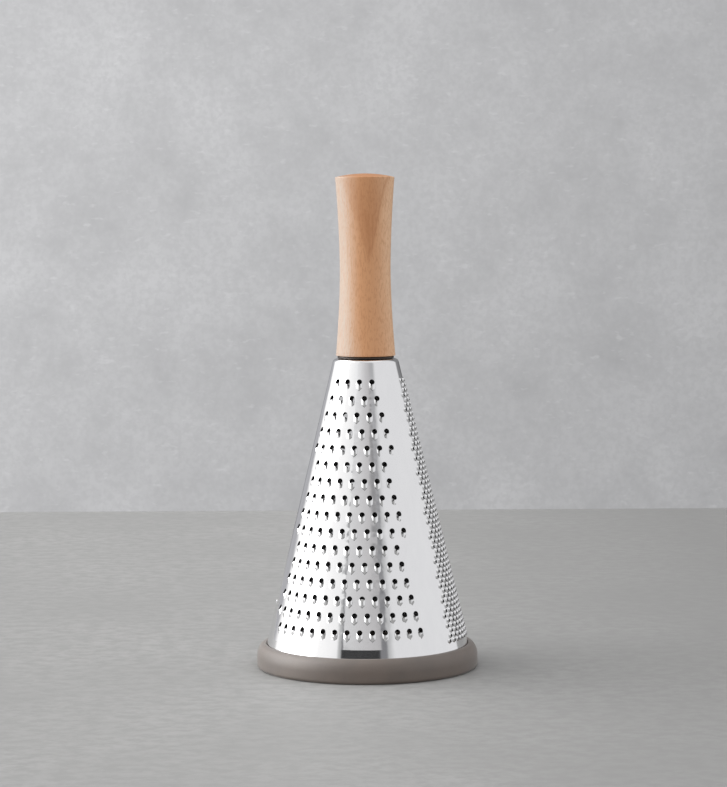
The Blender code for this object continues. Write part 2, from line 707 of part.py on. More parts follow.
def main():
    clear_scene()
    make_grater_cone()
    make_base_ring()
    make_backing_plate()
    make_flat_washer()
    make_spring_washer()
    make_fixing_screw()
    make_handle_collar()
    make_threaded_insert()
    make_handle()


main()
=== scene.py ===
"""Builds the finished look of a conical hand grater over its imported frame, and the stage round it."""

import math

import bmesh
import bpy
from bpy.props import FloatProperty, FloatVectorProperty, IntProperty, PointerProperty
from mathutils import Matrix, Vector


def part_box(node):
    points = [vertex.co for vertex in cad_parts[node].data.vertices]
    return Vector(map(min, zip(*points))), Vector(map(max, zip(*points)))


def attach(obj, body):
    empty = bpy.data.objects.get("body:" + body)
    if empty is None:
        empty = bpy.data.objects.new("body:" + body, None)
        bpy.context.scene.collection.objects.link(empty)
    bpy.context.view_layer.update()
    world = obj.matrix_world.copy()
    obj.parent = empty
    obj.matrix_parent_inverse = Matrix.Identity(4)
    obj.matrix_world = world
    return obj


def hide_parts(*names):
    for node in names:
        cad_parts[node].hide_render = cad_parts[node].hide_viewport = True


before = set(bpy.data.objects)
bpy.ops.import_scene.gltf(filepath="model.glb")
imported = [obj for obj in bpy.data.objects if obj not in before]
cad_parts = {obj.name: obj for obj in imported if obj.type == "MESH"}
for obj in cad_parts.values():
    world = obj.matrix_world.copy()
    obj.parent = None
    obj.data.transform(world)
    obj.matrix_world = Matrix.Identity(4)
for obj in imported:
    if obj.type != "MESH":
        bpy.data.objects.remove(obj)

bl_info = {
    "name": "Conical Grater",
    "version": (1, 0, 0),
    "blender": (4, 5, 0),
    "location": "View3D > Sidebar > Grater",
    "description": "Models a pierced steel cone grater with a beech handle on a soft ring",
    "category": "Add Mesh",
}

MM = 0.001
FULL_TURN = 2 * math.pi
WELD = 0.001 * MM
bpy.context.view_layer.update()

# Teeth: the head of a hood, the slope below its lip and the step that normals are taken over are in
# hole radii, and the shares are the places of a tooth's rings between its hole and its edge
HOOD_HEAD = 1.14
HOOD_SLOPE = 1.7
HOOD_SQUARENESS = 3.4
NORMAL_STEP = 0.01
HOOD_SHARES = (0, 0.2, 0.45, 0.73, 0.86, 1)
CROWN_SHARES = (0, 0.78, 1)
FILLET_START = 0.8
PETALS = 4

# Marks on the flat sheet: what each vertex belongs to, and how far each face looks into the cone, which the
# steel's material uses to paint shade on the hole walls and the inner skin
ZONE_SKIN = 0
ZONE_EDGE = 1
ZONE_BORDER = 2
CUT_EDGE = 0.9
INNER_SKIN = 1.0

# Angles above which an edge, or a corner of the sheet, is shaded as sharp
SHARP_EDGE = math.radians(35)
SHARP_CORNER = math.radians(40)


def length(label, default, description):
    """A length property, given in millimetres and kept in metres."""
    return FloatProperty(
        name=label, description=description, default=default * MM, min=0.0, unit="LENGTH", precision=5)


def angle(label, default, description):
    """An angle property, given in degrees and kept in radians."""
    return FloatProperty(
        name=label, description=description, default=math.radians(default), subtype="ANGLE")


def count(label, default, description, lowest=3):
    return IntProperty(name=label, description=description, default=default, min=lowest, subtype="UNSIGNED")


def rows(label, default, description):
    return count(label, default, description, lowest=0)


def colour(label, default, description):
    return FloatVectorProperty(
        name=label, description=description, default=default, size=3, min=0.0, max=1.0, subtype="COLOR")


def share(label, default, description, highest=1.0):
    return FloatProperty(
        name=label, description=description, default=default, min=0.0, max=highest, subtype="FACTOR")


# Sizes and colours

class ConeSettings(bpy.types.PropertyGroup):
    rim_radius: length("Rim radius", 54.4, "Outer radius at the wide end")
    rim_height: length("Rim height", 3.6, "Height of the wide end above the table")
    top_radius: length("Top radius", 16.7, "Outer radius at the small end, before its corner is rounded")
    top_height: length("Top height", 160.4, "Height of the flat small end")
    thickness: length("Sheet thickness", 0.6, "Thickness of the steel sheet")
    shoulder: length("Shoulder radius", 2.2, "Radius of the rounded corner at the small end")
    flange_hole: length("Flange hole", 6.0, "Radius of the hole in the small end")
    hem: length("Hem", 2.9, "Length of the sheet that is folded back at the wide end")
    hem_gap: length("Hem gap", 0.05, "Space left inside the fold")
    foot_bend: angle("Foot bend", 2.2, "How far the pressed foot of the sheet turns upright")
    foot_height: length("Foot height", 16.7, "Height at which the pressed foot begins")
    seam_azimuth: angle("Seam azimuth", 153.0, "Where the lap seam's cut edge runs down the back")
    seam_start: length("Seam start", 0.3, "Distance from the blank's end to the cut edge")
    seam_width: length("Seam width", 5.0, "Width of the overlap")
    seam_ramp: length("Seam ramp", 2.5, "Width over which the upper sheet comes down")
    segments: count("Segments", 240, "Straight pieces round the rim")
    generator_step: angle("Generator step", 6.0, "Angle between the lines that carry the cone's curve")


# What a field of teeth can be set to: the kind of each value, and what it means
FIELD_VALUES = {
    "azimuth": (angle, "Middle line of the field"),
    "left_sector": (angle, "Reach to the left of the middle line"),
    "left_margin": (length, "Plain strip taken off the left reach"),
    "right_sector": (angle, "Reach to the right of the middle line"),
    "right_margin": (length, "Plain strip taken off the right reach"),
    "first_height": (length, "Height of the lowest row"),
    "row_step": (length, "Height from row to row"),
    "top_margin": (length, "Plain height below the small end"),
    "pitch": (length, "Distance from tooth to tooth along a row"),
    "short_rows": (rows, "How many low rows end a tooth early at the left"),
    "segments": (count, "Corners round one tooth"),
    "hole": (length, "Radius of the hole"),
    "width": (length, "Half the width of the raised hood"),
    "reach": (length, "Distance from the hole's middle to the toe of the hood"),
    "foot": (length, "Radius where the crown leaves the sheet"),
    "rise": (length, "How far the tooth stands off the sheet"),
    "dish": (share, "Slope of the sheet that is drawn up round the tooth"),
    "raggedness": (share, "How much of the height the torn petals vary by"),
}


def field_values(**defaults):
    """The properties of one field of teeth, with defaults in millimetres and degrees."""
    made = {}
    for name, default in defaults.items():
        kind, description = FIELD_VALUES[name]
        made[name] = kind(name.replace("_", " ").capitalize(), default, description)
    return made


class MediumField(bpy.types.PropertyGroup):
    __annotations__ = field_values(
        azimuth=-19.5, left_sector=74.4, left_margin=12.4, right_sector=60.0, right_margin=5.8,
        first_height=25.0, row_step=8.29, top_margin=10.0, pitch=6.45, short_rows=6, segments=14,
        hole=1.4, width=1.72, reach=4.9, rise=0.8, dish=0.006)


class CoarseField(bpy.types.PropertyGroup):
    __annotations__ = field_values(
        azimuth=-143.0, left_sector=49.0, left_margin=6.5, right_sector=49.0, right_margin=6.5,
        first_height=25.2, row_step=9.35, top_margin=20.0, pitch=9.6, short_rows=0, segments=16,
        hole=2.3, width=2.8, reach=7.7, rise=1.6, dish=0.006)


class FineField(bpy.types.PropertyGroup):
    __annotations__ = field_values(
        azimuth=99.5, left_sector=49.7, left_margin=4.2, right_sector=49.7, right_margin=4.2,
        first_height=17.4, row_step=2.49, top_margin=11.0, pitch=4.4, short_rows=0, segments=8,
        hole=0.85, foot=1.45, rise=0.95, dish=0.02, raggedness=0.3)


class RingSettings(bpy.types.PropertyGroup):
    radius: length("Radius", 57.5, "Widest radius")
    height: length("Height", 12.5, "Height of the flat land round the cone")
    widest: length("Widest height", 5.5, "Height at which the side turns vertical")
    foot: length("Foot radius", 1.9, "Rounding under the side")
    land: length("Land", 0.7, "Width of the flat land")
    lip: length("Lip", 2.4, "Thickness of the part inside the cone")
    lip_height: length("Lip height", 9.5, "Height of the part inside the cone")
    gap: length("Gap", 0.3, "Space between the ring and the steel")
    segments: count("Segments", 180, "Straight pieces round the ring")
    tint: colour("Tint", (0.083, 0.054, 0.036), "Taupe of the silicone")


class HandleSettings(bpy.types.PropertyGroup):
    bottom: length("Bottom", 161.9, "Height of the foot of the wood")
    length: length("Length", 92.2, "Length up to the crown's edge")
    top_radius: length("Top radius", 15.3, "Radius at the top edge")
    foot_radius: length("Foot radius", 15.4, "Radius at the foot")
    waist_radius: length("Waist radius", 13.1, "Smallest radius")
    waist: share("Waist place", 0.48, "Share of the length at which the waist sits")
    flare: share("Flare", 1.7, "Power of the curve from waist to end", highest=4.0)
    dome: length("Crown height", 1.75, "Rise of the crown over its edge")
    edge: length("Edge", 0.45, "Rounding of the edges")
    bore: length("Bore radius", 7.8, "Radius of the counterbore in the foot")
    bore_depth: length("Bore depth", 2.8, "Depth of the counterbore")
    segments: count("Segments", 128, "Straight pieces round the handle")
    # Painted sheen: the cream is the wood's tint made paler and greyer where the window's gloss falls on the
    # left
    cream_and_sheen: colour("Cream wood", (0.58, 0.49, 0.415), "Sapwood at the left")
    pale: colour("Pale wood", (0.86, 0.565, 0.355), "Sapwood at the right")
    warm: colour("Warm wood", (0.72, 0.37, 0.185), "Heart of the beech")
    fleck: colour("Fleck", (0.50, 0.215, 0.09), "Short dark rays")


class CollarSettings(bpy.types.PropertyGroup):
    radius: length("Radius", 14.6, "Radius of the disc under the wood")
    bottom: length("Bottom", 160.7, "Underside of the disc")
    thickness: length("Thickness", 0.9, "Thickness of the disc")
    spigot: length("Spigot radius", 7.5, "Radius of the part that enters the wood")
    spigot_height: length("Spigot height", 2.5, "Height of the part that enters the wood")
    nose: length("Nose radius", 5.7, "Radius of the part that enters the cone")
    nose_height: length("Nose height", 0.6, "Depth of the part that enters the cone")
    bore: length("Bore radius", 2.85, "Clearance hole for the screw")
    segments: count("Segments", 96, "Straight pieces round the collar")
    tint: colour("Tint", (0.028, 0.018, 0.012), "Black-brown of the moulding")


class StageSettings(bpy.types.PropertyGroup):
    camera_distance: length("Camera distance", 1293.0, "From the camera to the cone's axis")
    camera_height: length("Camera height", 231.7, "Height of the camera above the table")
    camera_tilt: angle("Camera tilt", 3.96, "How far the camera looks down")
    camera_roll: angle("Camera roll", 0.32, "How far the camera leans")
    floor_back: length("Floor back", 700.0, "From the axis to the back edge of the table")
    floor_front: length("Floor front", 330.0, "From the axis to the front edge of the table")
    floor_side: length("Floor side", 1500.0, "From the axis to the table's sides")
    floor_tint: colour("Floor tint", (0.388, 0.386, 0.380), "Pale stone of the table")
    wall_tint: colour("Wall tint", (0.507, 0.508, 0.518), "Pale grey behind the table")


class GraterSettings(bpy.types.PropertyGroup):
    cone: PointerProperty(type=ConeSettings, name="Cone", description="Sizes of the steel cone")
    medium: PointerProperty(type=MediumField, name="Medium field", description="The field at the front")
    coarse: PointerProperty(type=CoarseField, name="Coarse field", description="The field at the back")
    fine: PointerProperty(type=FineField, name="Fine field", description="The field at the right")
    ring: PointerProperty(type=RingSettings, name="Ring", description="The soft ring")
    handle: PointerProperty(type=HandleSettings, name="Handle", description="The turned handle")
    collar: PointerProperty(type=CollarSettings, name="Collar", description="The moulded collar")
    stage: PointerProperty(type=StageSettings, name="Stage", description="Table, light and camera")


# The cone's geometry

class ConeShape:
    """Rolls a flat blank round the cone. The blank's apex is at its origin, and x runs down the seam."""

    def __init__(self, cone):
        self.cone = cone
        self.slope = (cone.rim_radius - cone.top_radius) / (cone.top_height - cone.rim_height)
        self.half_angle = math.atan(self.slope)
        self.sin = math.sin(self.half_angle)
        self.cos = math.cos(self.half_angle)
        self.sweep = FULL_TURN * self.sin
        self.shoulder_centre = cone.top_height - cone.shoulder
        self.shoulder_start = self.shoulder_centre + cone.shoulder * self.sin

    def radius(self, height):
        return self.cone.rim_radius - (height - self.cone.rim_height) * self.slope

    def slant(self, height):
        return self.radius(height) / self.sin

    def off_side(self, height, lift):
        """Radius and height of a point that stands off the outer face."""
        return self.radius(height) + lift * self.cos, height + lift * self.sin

    def site(self, azimuth, height):
        """Matrix that puts a tooth, drawn with x across and y up the slope, on the blank."""
        turn = ((azimuth - self.cone.seam_azimuth) % FULL_TURN) * self.sin
        down = Vector((math.cos(turn), math.sin(turn), 0))
        across = Vector((-math.sin(turn), math.cos(turn), 0))
        place = Matrix((across, -down, (0, 0, 1))).transposed().to_4x4()
        place.translation = down * self.slant(height)
        return place

    def roll(self, flat, flat_normal):
        """The rolled place and normal of a point of the blank, whose z is its lift off the sheet."""
        slant = math.hypot(flat.x, flat.y)
        azimuth = self.cone.seam_azimuth + math.atan2(flat.y, flat.x) / self.sin
        out = Vector((math.sin(azimuth), -math.cos(azimuth), 0))
        around = Vector((math.cos(azimuth), math.sin(azimuth), 0))
        normal = Vector((out.x * self.cos, out.y * self.cos, self.sin))
        down = Vector((out.x * self.sin, out.y * self.sin, -self.cos))
        radius = slant * self.sin
        height = self.cone.rim_height + (self.cone.rim_radius - radius) / self.slope
        place = out * radius + Vector((0, 0, height)) + normal * flat.z
        along = (flat_normal.x * flat.x + flat_normal.y * flat.y) / slant
        sideways = (flat_normal.y * flat.x - flat_normal.x * flat.y) / slant
        return place, (down * along + around * sideways + normal * flat_normal.z).normalized()


def field_sites(shape, field):
    """Azimuth and height of each tooth: rows round the cone at one pitch, every other one staggered.

    Steps along a row are half pitches, so one tooth takes two.
    """
    room = shape.cone.top_height - field.top_margin - field.first_height
    last_row = math.floor(room / field.row_step)
    half_pitch = field.pitch / 2
    for row in range(last_row + 1):
        height = field.first_height + row * field.row_step
        radius = shape.radius(height)
        left = math.floor((field.left_sector * radius - field.left_margin) / half_pitch)
        right = math.floor((field.right_sector * radius - field.right_margin) / half_pitch)
        if row < field.short_rows:
            left -= 2
        for step in range(-left, right + 1):
            if (step - row) % 2 == 0:
                yield field.azimuth + step * half_pitch / radius, height


def hood_reach(field, x, y):
    """How far out a point of a hood lies: 1 at its edge, which hangs down from the hole like a thumbnail."""
    if y > 0:
        return math.hypot(x, y) / (field.hole * HOOD_HEAD)
    across, down = abs(x) / field.width, -y / field.reach
    return (across ** HOOD_SQUARENESS + down ** HOOD_SQUARENESS) ** (1 / HOOD_SQUARENESS)


def hood_outline(field, turn):
    """Distance from the hole's middle to the edge of the hood in one direction."""
    return 1 / hood_reach(field, math.cos(turn), math.sin(turn))


def hood_lift(field, x, y):
    """Height of a hood: a rounded crest whose upper end is the lip, with a soft foot all round."""
    reach = min(hood_reach(field, x, y), 1.0)
    if reach < FILLET_START:
        crest = 1 - reach ** 2 / FILLET_START
    else:
        crest = (1 - reach) ** 2 / (1 - FILLET_START)
    below = min(max((field.hole - y) / (HOOD_SLOPE * field.hole), 0.0), 1.0)
    return field.rise * crest * below * below * (3 - 2 * below)


def crown_outline(field, turn):
    """Distance from the hole's middle to the edge of a fine tooth, the same all round."""
    return field.foot


def crown_lift(field, x, y):
    """Height of a fine tooth: a small cone, burst open at the top into petals that are torn unevenly."""
    part = min((math.hypot(x, y) - field.hole) / (field.foot - field.hole), 1.0)
    torn = field.raggedness * (0.5 + 0.5 * math.cos(PETALS * math.atan2(y, x)))
    petals = 1 - torn * (1 - part)
    slope = 2 / (1 + FILLET_START)
    if part < FILLET_START:
        return field.rise * (1 - slope * part) * petals
    return field.rise * slope * (1 - part) ** 2 / (2 * (1 - FILLET_START)) * petals


def only(kind, items):
    return [item for item in items if isinstance(item, kind)]


def to_mesh(bm, name):
    """Turns what was built into a mesh and frees it."""
    mesh = bpy.data.meshes.new(name)
    bm.to_mesh(mesh)
    bm.free()
    return mesh


def make_patch(field, shares, outline, lift_at):
    """One tooth's skin as a flat rosette of rings round its hole, raised by lift_at.

    The normals come from the lift itself, so that polished steel mirrors the studio evenly.
    """
    bm = bmesh.new()
    normals = bm.verts.layers.float_vector.new("skin_normal")
    zones = bm.verts.layers.int.new("zone")
    bmesh.ops.create_circle(bm, segments=field.segments, radius=1)
    edges = bm.edges[:]
    rings = [bm.verts[:]]
    for _ in shares[1:]:
        made = bmesh.ops.extrude_edge_only(bm, edges=edges)["geom"]
        edges = only(bmesh.types.BMEdge, made)
        rings.append(only(bmesh.types.BMVert, made))
    nudge = NORMAL_STEP * field.hole
    for part, ring in zip(shares, rings):
        for vertex in ring:
            turn = math.atan2(vertex.co.y, vertex.co.x)
            distance = field.hole + (outline(field, turn) - field.hole) * part
            x, y = distance * math.cos(turn), distance * math.sin(turn)
            tilt_x = (lift_at(field, x + nudge, y) - lift_at(field, x - nudge, y)) / (2 * nudge)
            tilt_y = (lift_at(field, x, y + nudge) - lift_at(field, x, y - nudge)) / (2 * nudge)
            if part == 1:
                tilt_x, tilt_y = -field.dish * math.cos(turn), -field.dish * math.sin(turn)
            vertex.co = (x, y, lift_at(field, x, y))
            vertex[normals] = Vector((-tilt_x, -tilt_y, 1)).normalized()
            vertex[zones] = ZONE_EDGE if part == 1 else ZONE_SKIN
    bm.normal_update()
    bmesh.ops.reverse_faces(bm, faces=[face for face in bm.faces if face.normal.z < 0])
    return to_mesh(bm, "tooth_patch")


def add_patches(bm, patch, places):
    """Sets copies of a tooth's patch on the blank."""
    normals = bm.verts.layers.float_vector["skin_normal"]
    for place in places:
        start = len(bm.verts)
        bm.from_mesh(patch)
        bm.verts.ensure_lookup_table()
        turn = place.to_3x3()
        for vertex in bm.verts[start:]:
            vertex.co = place @ vertex.co
            vertex[normals] = turn @ vertex[normals]


def add_border(bm, shape):
    """The blank's outline: two arcs and the two edges that close at the seam."""
    normals = bm.verts.layers.float_vector["skin_normal"]
    zones = bm.verts.layers.int["zone"]
    cone = shape.cone
    ends = []
    for slant in (shape.slant(shape.shoulder_start), shape.slant(cone.rim_height)):
        vertex = bm.verts.new((slant, 0, 0))
        swept = bmesh.ops.spin(bm, geom=[vertex], axis=(0, 0, 1), cent=(0, 0, 0),
                               angle=shape.sweep, steps=cone.segments)["geom_last"]
        ends.append((vertex, only(bmesh.types.BMVert, swept)[0]))
    for top, rim in zip(*ends):
        bm.edges.new((top, rim))
    for vertex in bm.verts:
        vertex[normals] = (0, 0, 1)
        vertex[zones] = ZONE_BORDER


def fill_sheet(bm):
    """Fills the sheet between the border and the teeth, and returns the new faces."""
    zones = bm.verts.layers.int["zone"]
    loops = [edge for edge in bm.edges if edge.is_wire or (
        edge.is_boundary and all(vertex[zones] == ZONE_EDGE for vertex in edge.verts))]
    made = bmesh.ops.triangle_fill(bm, use_beauty=True, edges=loops, normal=(0, 0, 1))["geom"]
    return only(bmesh.types.BMFace, made)


def crosses(face, normal):
    """Whether a plane through the apex cuts a face of the blank."""
    sides = [vertex.co.dot(normal) for vertex in face.verts]
    return min(sides) < -WELD and max(sides) > WELD


def cut_along(bm, faces, origin, normal):
    """Cuts faces along a plane."""
    edges = list({edge for face in faces for edge in face.edges})
    verts = list({vertex for face in faces for vertex in face.verts})
    bmesh.ops.bisect_plane(bm, geom=faces + edges + verts, dist=WELD, plane_co=origin, plane_no=normal)


def cut_plain(bm, layer, origin, normal, within):
    """Cuts those of the plain sheet's faces that within picks along a plane."""
    cut_along(bm, [face for face in bm.faces if face[layer] == 1 and within(face)], origin, normal)


def raise_seam(bm, shape, layer):
    """Lifts the overlap of the lap seam by one sheet thickness.

    The upper sheet stands up within step of its cut edge, and comes down within run at both ends.
    """
    cone = shape.cone
    step, run = 0.1 * MM, 0.2 * MM
    top_margin, foot_margin = 3 * MM, 12 * MM
    top = shape.slant(shape.shoulder_start) + top_margin
    foot = shape.slant(cone.rim_height) - foot_margin
    cut_edge = cone.seam_start
    flat_end = cut_edge + cone.seam_width
    ramp_end = flat_end + cone.seam_ramp

    def lowest(face):
        return min(vertex.co.y for vertex in face.verts)

    def near(face):
        return cut_edge < face.calc_center_median().y + WELD and lowest(face) < ramp_end

    cut_plain(bm, layer, (0, cut_edge, 0), (0, 1, 0), lambda face: lowest(face) < cut_edge)
    for across in (cut_edge + step, flat_end, ramp_end):
        cut_plain(bm, layer, (0, across, 0), (0, 1, 0), near)
    for along in (top, top + run, foot - run, foot):
        cut_plain(bm, layer, (along, 0, 0), (1, 0, 0), near)
    for vertex in bm.verts:
        across, along = vertex.co.y, vertex.co.x
        if cut_edge + step / 2 < across < ramp_end and top + run / 2 < along < foot - run / 2:
            vertex.co.z += cone.thickness * min(1.0, (ramp_end - across) / cone.seam_ramp)


def runs_with(edge, face, other):
    """Whether two faces run along their shared edge the same way, which means one is inside out."""
    first = next(loop for loop in face.loops if loop.edge is edge)
    second = next(loop for loop in other.loops if loop.edge is edge)
    return first.vert is second.vert


def add_inner_skin(bm, shape, inward):
    """Gives the flat sheet its thickness, with its rim left open, and marks what faces inward."""
    cone = shape.cone
    near_seam, near_arc = 1e-6, 0.01 * MM
    outer = bm.faces[:]
    whole = bm.faces[:] + bm.edges[:] + bm.verts[:]
    made = bmesh.ops.extrude_face_region(bm, geom=whole, use_keep_orig=True)["geom"]
    inner = only(bmesh.types.BMFace, made)
    for vertex in only(bmesh.types.BMVert, made):
        vertex.co.z -= cone.thickness
    bm.normal_update()
    wrong = [face for face in outer if face.normal.z < 0] + [face for face in inner if face.normal.z > 0]
    bmesh.ops.reverse_faces(bm, faces=wrong)

    def on_rim(vertex):
        slant = math.hypot(vertex.co.x, vertex.co.y)
        turn = math.atan2(vertex.co.y, vertex.co.x)
        return (turn < near_seam or turn > shape.sweep - near_seam
                or slant < shape.slant(shape.shoulder_start) + near_arc
                or slant > shape.slant(cone.rim_height) - near_arc)

    known = set(outer) | set(inner)
    walls = [face for face in bm.faces if face not in known]
    border = {face for face in walls if all(on_rim(vertex) for vertex in face.verts)}
    skin = set(outer)
    for face in walls:
        if face not in border:
            rim = next(edge for edge in face.edges if any(other in skin for other in edge.link_faces))
            neighbour = next(other for other in rim.link_faces if other in skin)
            if runs_with(rim, face, neighbour):
                face.normal_flip()
            face[inward] = CUT_EDGE
    for face in inner:
        face[inward] = INNER_SKIN
    bmesh.ops.delete(bm, geom=list(border), context="FACES")


def press_foot(bm, cone):
    """Marks the line of the pressed foot and turns the normals below it more upright."""
    normals = bm.verts.layers.float_vector["skin_normal"]
    crease = 0.3 * MM
    for height in (cone.foot_height, cone.foot_height - crease):
        faces = []
        for face in bm.faces:
            levels = [vertex.co.z for vertex in face.verts]
            if min(levels) < height - WELD and max(levels) > height + WELD:
                faces.append(face)
        cut_along(bm, faces, (0, 0, height), (0, 0, 1))
    for vertex in bm.verts:
        if vertex.co.z < cone.foot_height - crease + WELD:
            out = Vector((vertex.co.x, vertex.co.y, 0)).normalized()
            level = math.asin(vertex[normals].normalized().z) - cone.foot_bend
            vertex[normals] = out * math.cos(level) + Vector((0, 0, math.sin(level)))


def open_rings(bm, middle):
    """The open edges of the sheet: top outer, top inner, rim outer and rim inner."""
    edges = [edge for edge in bm.edges if edge.is_boundary]
    rings = []
    for upper in (True, False):
        half = [edge for edge in edges if (edge.verts[0].co.z > middle) == upper]
        heights = [edge.verts[0].co.z for edge in half]
        split = (max(heights) + min(heights)) / 2
        rings.append([edge for edge in half if edge.verts[0].co.z > split])
        rings.append([edge for edge in half if edge.verts[0].co.z <= split])
    return rings


def extend_ring(bm, edges, radius, height, normal):
    """Extrudes a ring of edges to a new radius and height. normal holds its outward and upward parts."""
    layer = bm.verts.layers.float_vector["skin_normal"]
    made = bmesh.ops.extrude_edge_only(bm, edges=edges)["geom"]
    for vertex in only(bmesh.types.BMVert, made):
        out = Vector((vertex.co.x, vertex.co.y, 0)).normalized()
        vertex.co = out * radius + Vector((0, 0, height))
        vertex[layer] = out * normal[0] + Vector((0, 0, normal[1]))
    return only(bmesh.types.BMEdge, made)


def close_ends(bm, shape):
    """The rounded shoulder and flange at the small end, and the folded hem at the wide end."""
    cone = shape.cone
    top_outer, top_inner, rim_outer, rim_inner = open_rings(bm, cone.top_height / 2)
    centre = shape.radius(shape.shoulder_start) - cone.shoulder * shape.cos
    steps = 10
    for sign, edges, radius, level in (
        (1, top_outer, cone.shoulder, cone.top_height),
        (-1, top_inner, cone.shoulder - cone.thickness, cone.top_height - cone.thickness),
    ):
        for step in range(1, steps + 1):
            turn = shape.half_angle + (math.pi / 2 - shape.half_angle) * step / steps
            out, up = math.cos(turn), math.sin(turn)
            edges = extend_ring(bm, edges, centre + radius * out, shape.shoulder_centre + radius * up,
                                (sign * out, sign * up))
        edges = extend_ring(bm, edges, cone.flange_hole, level, (0, sign))
        if sign == 1:
            flange = edges
    bmesh.ops.bridge_loops(bm, edges=flange + edges)
    hem_top = cone.rim_height + cone.hem
    out = (shape.cos, shape.sin)
    inward = (-shape.cos, -shape.sin)
    for height, lift, normal in (
        (cone.rim_height + cone.hem_gap, cone.hem_gap, inward),
        (hem_top, cone.hem_gap, inward),
        (hem_top, cone.thickness, out),
        (cone.rim_height, cone.thickness, out),
    ):
        rim_outer = extend_ring(bm, rim_outer, *shape.off_side(height, lift), normal)
    bmesh.ops.bridge_loops(bm, edges=rim_outer + rim_inner)


def set_normals(mesh, stored, outward):
    """Shades each corner with its stored normal, or flat where the face turns away from that."""
    corners = [None] * len(mesh.loops)
    limit = math.cos(SHARP_CORNER)
    for polygon in mesh.polygons:
        for loop in polygon.loop_indices:
            vertex = mesh.loops[loop].vertex_index
            normal = stored[vertex] if outward[polygon.index] else -stored[vertex]
            corners[loop] = normal if normal.dot(polygon.normal) > limit else polygon.normal
    mesh.shade_smooth()
    mesh.normals_split_custom_set(corners)


def build_cone(settings):
    """The whole sheet, worked flat and then rolled up as a cone."""
    shape = ConeShape(settings.cone)
    bm = bmesh.new()
    normals = bm.verts.layers.float_vector.new("skin_normal")
    bm.verts.layers.int.new("zone")
    plain = bm.faces.layers.int.new("plain")
    inward = bm.faces.layers.float.new("inward")
    add_border(bm, shape)
    for field, shares, outline, lift_at in (
        (settings.medium, HOOD_SHARES, hood_outline, hood_lift),
        (settings.coarse, HOOD_SHARES, hood_outline, hood_lift),
        (settings.fine, CROWN_SHARES, crown_outline, crown_lift),
    ):
        patch = make_patch(field, shares, outline, lift_at)
        add_patches(bm, patch, [shape.site(*site) for site in field_sites(shape, field)])
        bpy.data.meshes.remove(patch)
    for face in fill_sheet(bm):
        face[plain] = 1
    lines = round(FULL_TURN / settings.cone.generator_step)
    for line in range(1, lines):
        turn = shape.sweep * line / lines
        across = Vector((-math.sin(turn), math.cos(turn), 0))
        cut_plain(bm, plain, (0, 0, 0), across, lambda face: crosses(face, across))
    raise_seam(bm, shape, plain)
    add_inner_skin(bm, shape, inward)
    # A vertex that a cut made has no normal of its own, and lies on the plain sheet
    for vertex in bm.verts:
        flat_normal = vertex[normals] if vertex[normals].length > 0.5 else Vector((0, 0, 1))
        vertex.co, vertex[normals] = shape.roll(vertex.co, flat_normal)
    edge_verts = {vertex for edge in bm.edges if edge.is_boundary for vertex in edge.verts}
    bmesh.ops.remove_doubles(bm, verts=list(edge_verts), dist=WELD)
    press_foot(bm, settings.cone)
    close_ends(bm, shape)
    bm.verts.index_update()
    stored = [vertex[normals].copy() for vertex in bm.verts]
    mesh = to_mesh(bm, "pierced_cone")
    between = (CUT_EDGE + INNER_SKIN) / 2
    set_normals(mesh, stored, [flag.value < between for flag in mesh.attributes["inward"].data])
    for name in ("skin_normal", "zone", "plain"):
        mesh.attributes.remove(mesh.attributes[name])
    return mesh


# Turned pieces

def turned_mesh(name, profile, segments):
    """A profile of (radius, height) points turned about Z. Points on the axis close the ends."""
    bm = bmesh.new()
    verts = [bm.verts.new((radius, 0, height)) for radius, height in profile]
    on_axis = profile[0][0] == 0 and profile[-1][0] == 0
    pairs = list(zip(verts, verts[1:]))
    if not on_axis:
        pairs.append((verts[-1], verts[0]))
    edges = [bm.edges.new(pair) for pair in pairs]
    bmesh.ops.spin(bm, geom=verts + edges, axis=(0, 0, 1), cent=(0, 0, 0), angle=FULL_TURN,
                   steps=segments, use_merge=True)
    bmesh.ops.remove_doubles(bm, verts=bm.verts, dist=WELD)
    bmesh.ops.recalc_face_normals(bm, faces=bm.faces)
    mesh = to_mesh(bm, name)
    mesh.shade_smooth()
    mesh.set_sharp_from_angle(angle=SHARP_EDGE)
    return mesh


def quarter(steps):
    """Sine and cosine of the turns that part a quarter circle into steps."""
    turns = [math.pi / 2 * step / steps for step in range(steps + 1)]
    return [(math.sin(turn), math.cos(turn)) for turn in turns]


def rounded(corner, before, after, radius, steps=5):
    """Points of a small arc in place of a corner of a profile."""
    corner, before, after = Vector(corner), Vector(before), Vector(after)
    toward, away = (before - corner).normalized(), (after - corner).normalized()
    start, end = corner + toward * radius, corner + away * radius
    points = []
    for step in range(steps + 1):
        part = step / steps
        point = (1 - part) ** 2 * start + 2 * part * (1 - part) * corner + part ** 2 * end
        points.append(tuple(point))
    return points


def soften(profile, radii):
    """Rounds the corners of a closed profile that have a radius in radii, a dict of index to radius."""
    points = []
    for index, corner in enumerate(profile):
        if index in radii:
            before, after = profile[index - 1], profile[(index + 1) % len(profile)]
            points += rounded(corner, before, after, radii[index])
        else:
            points.append(corner)
    return points


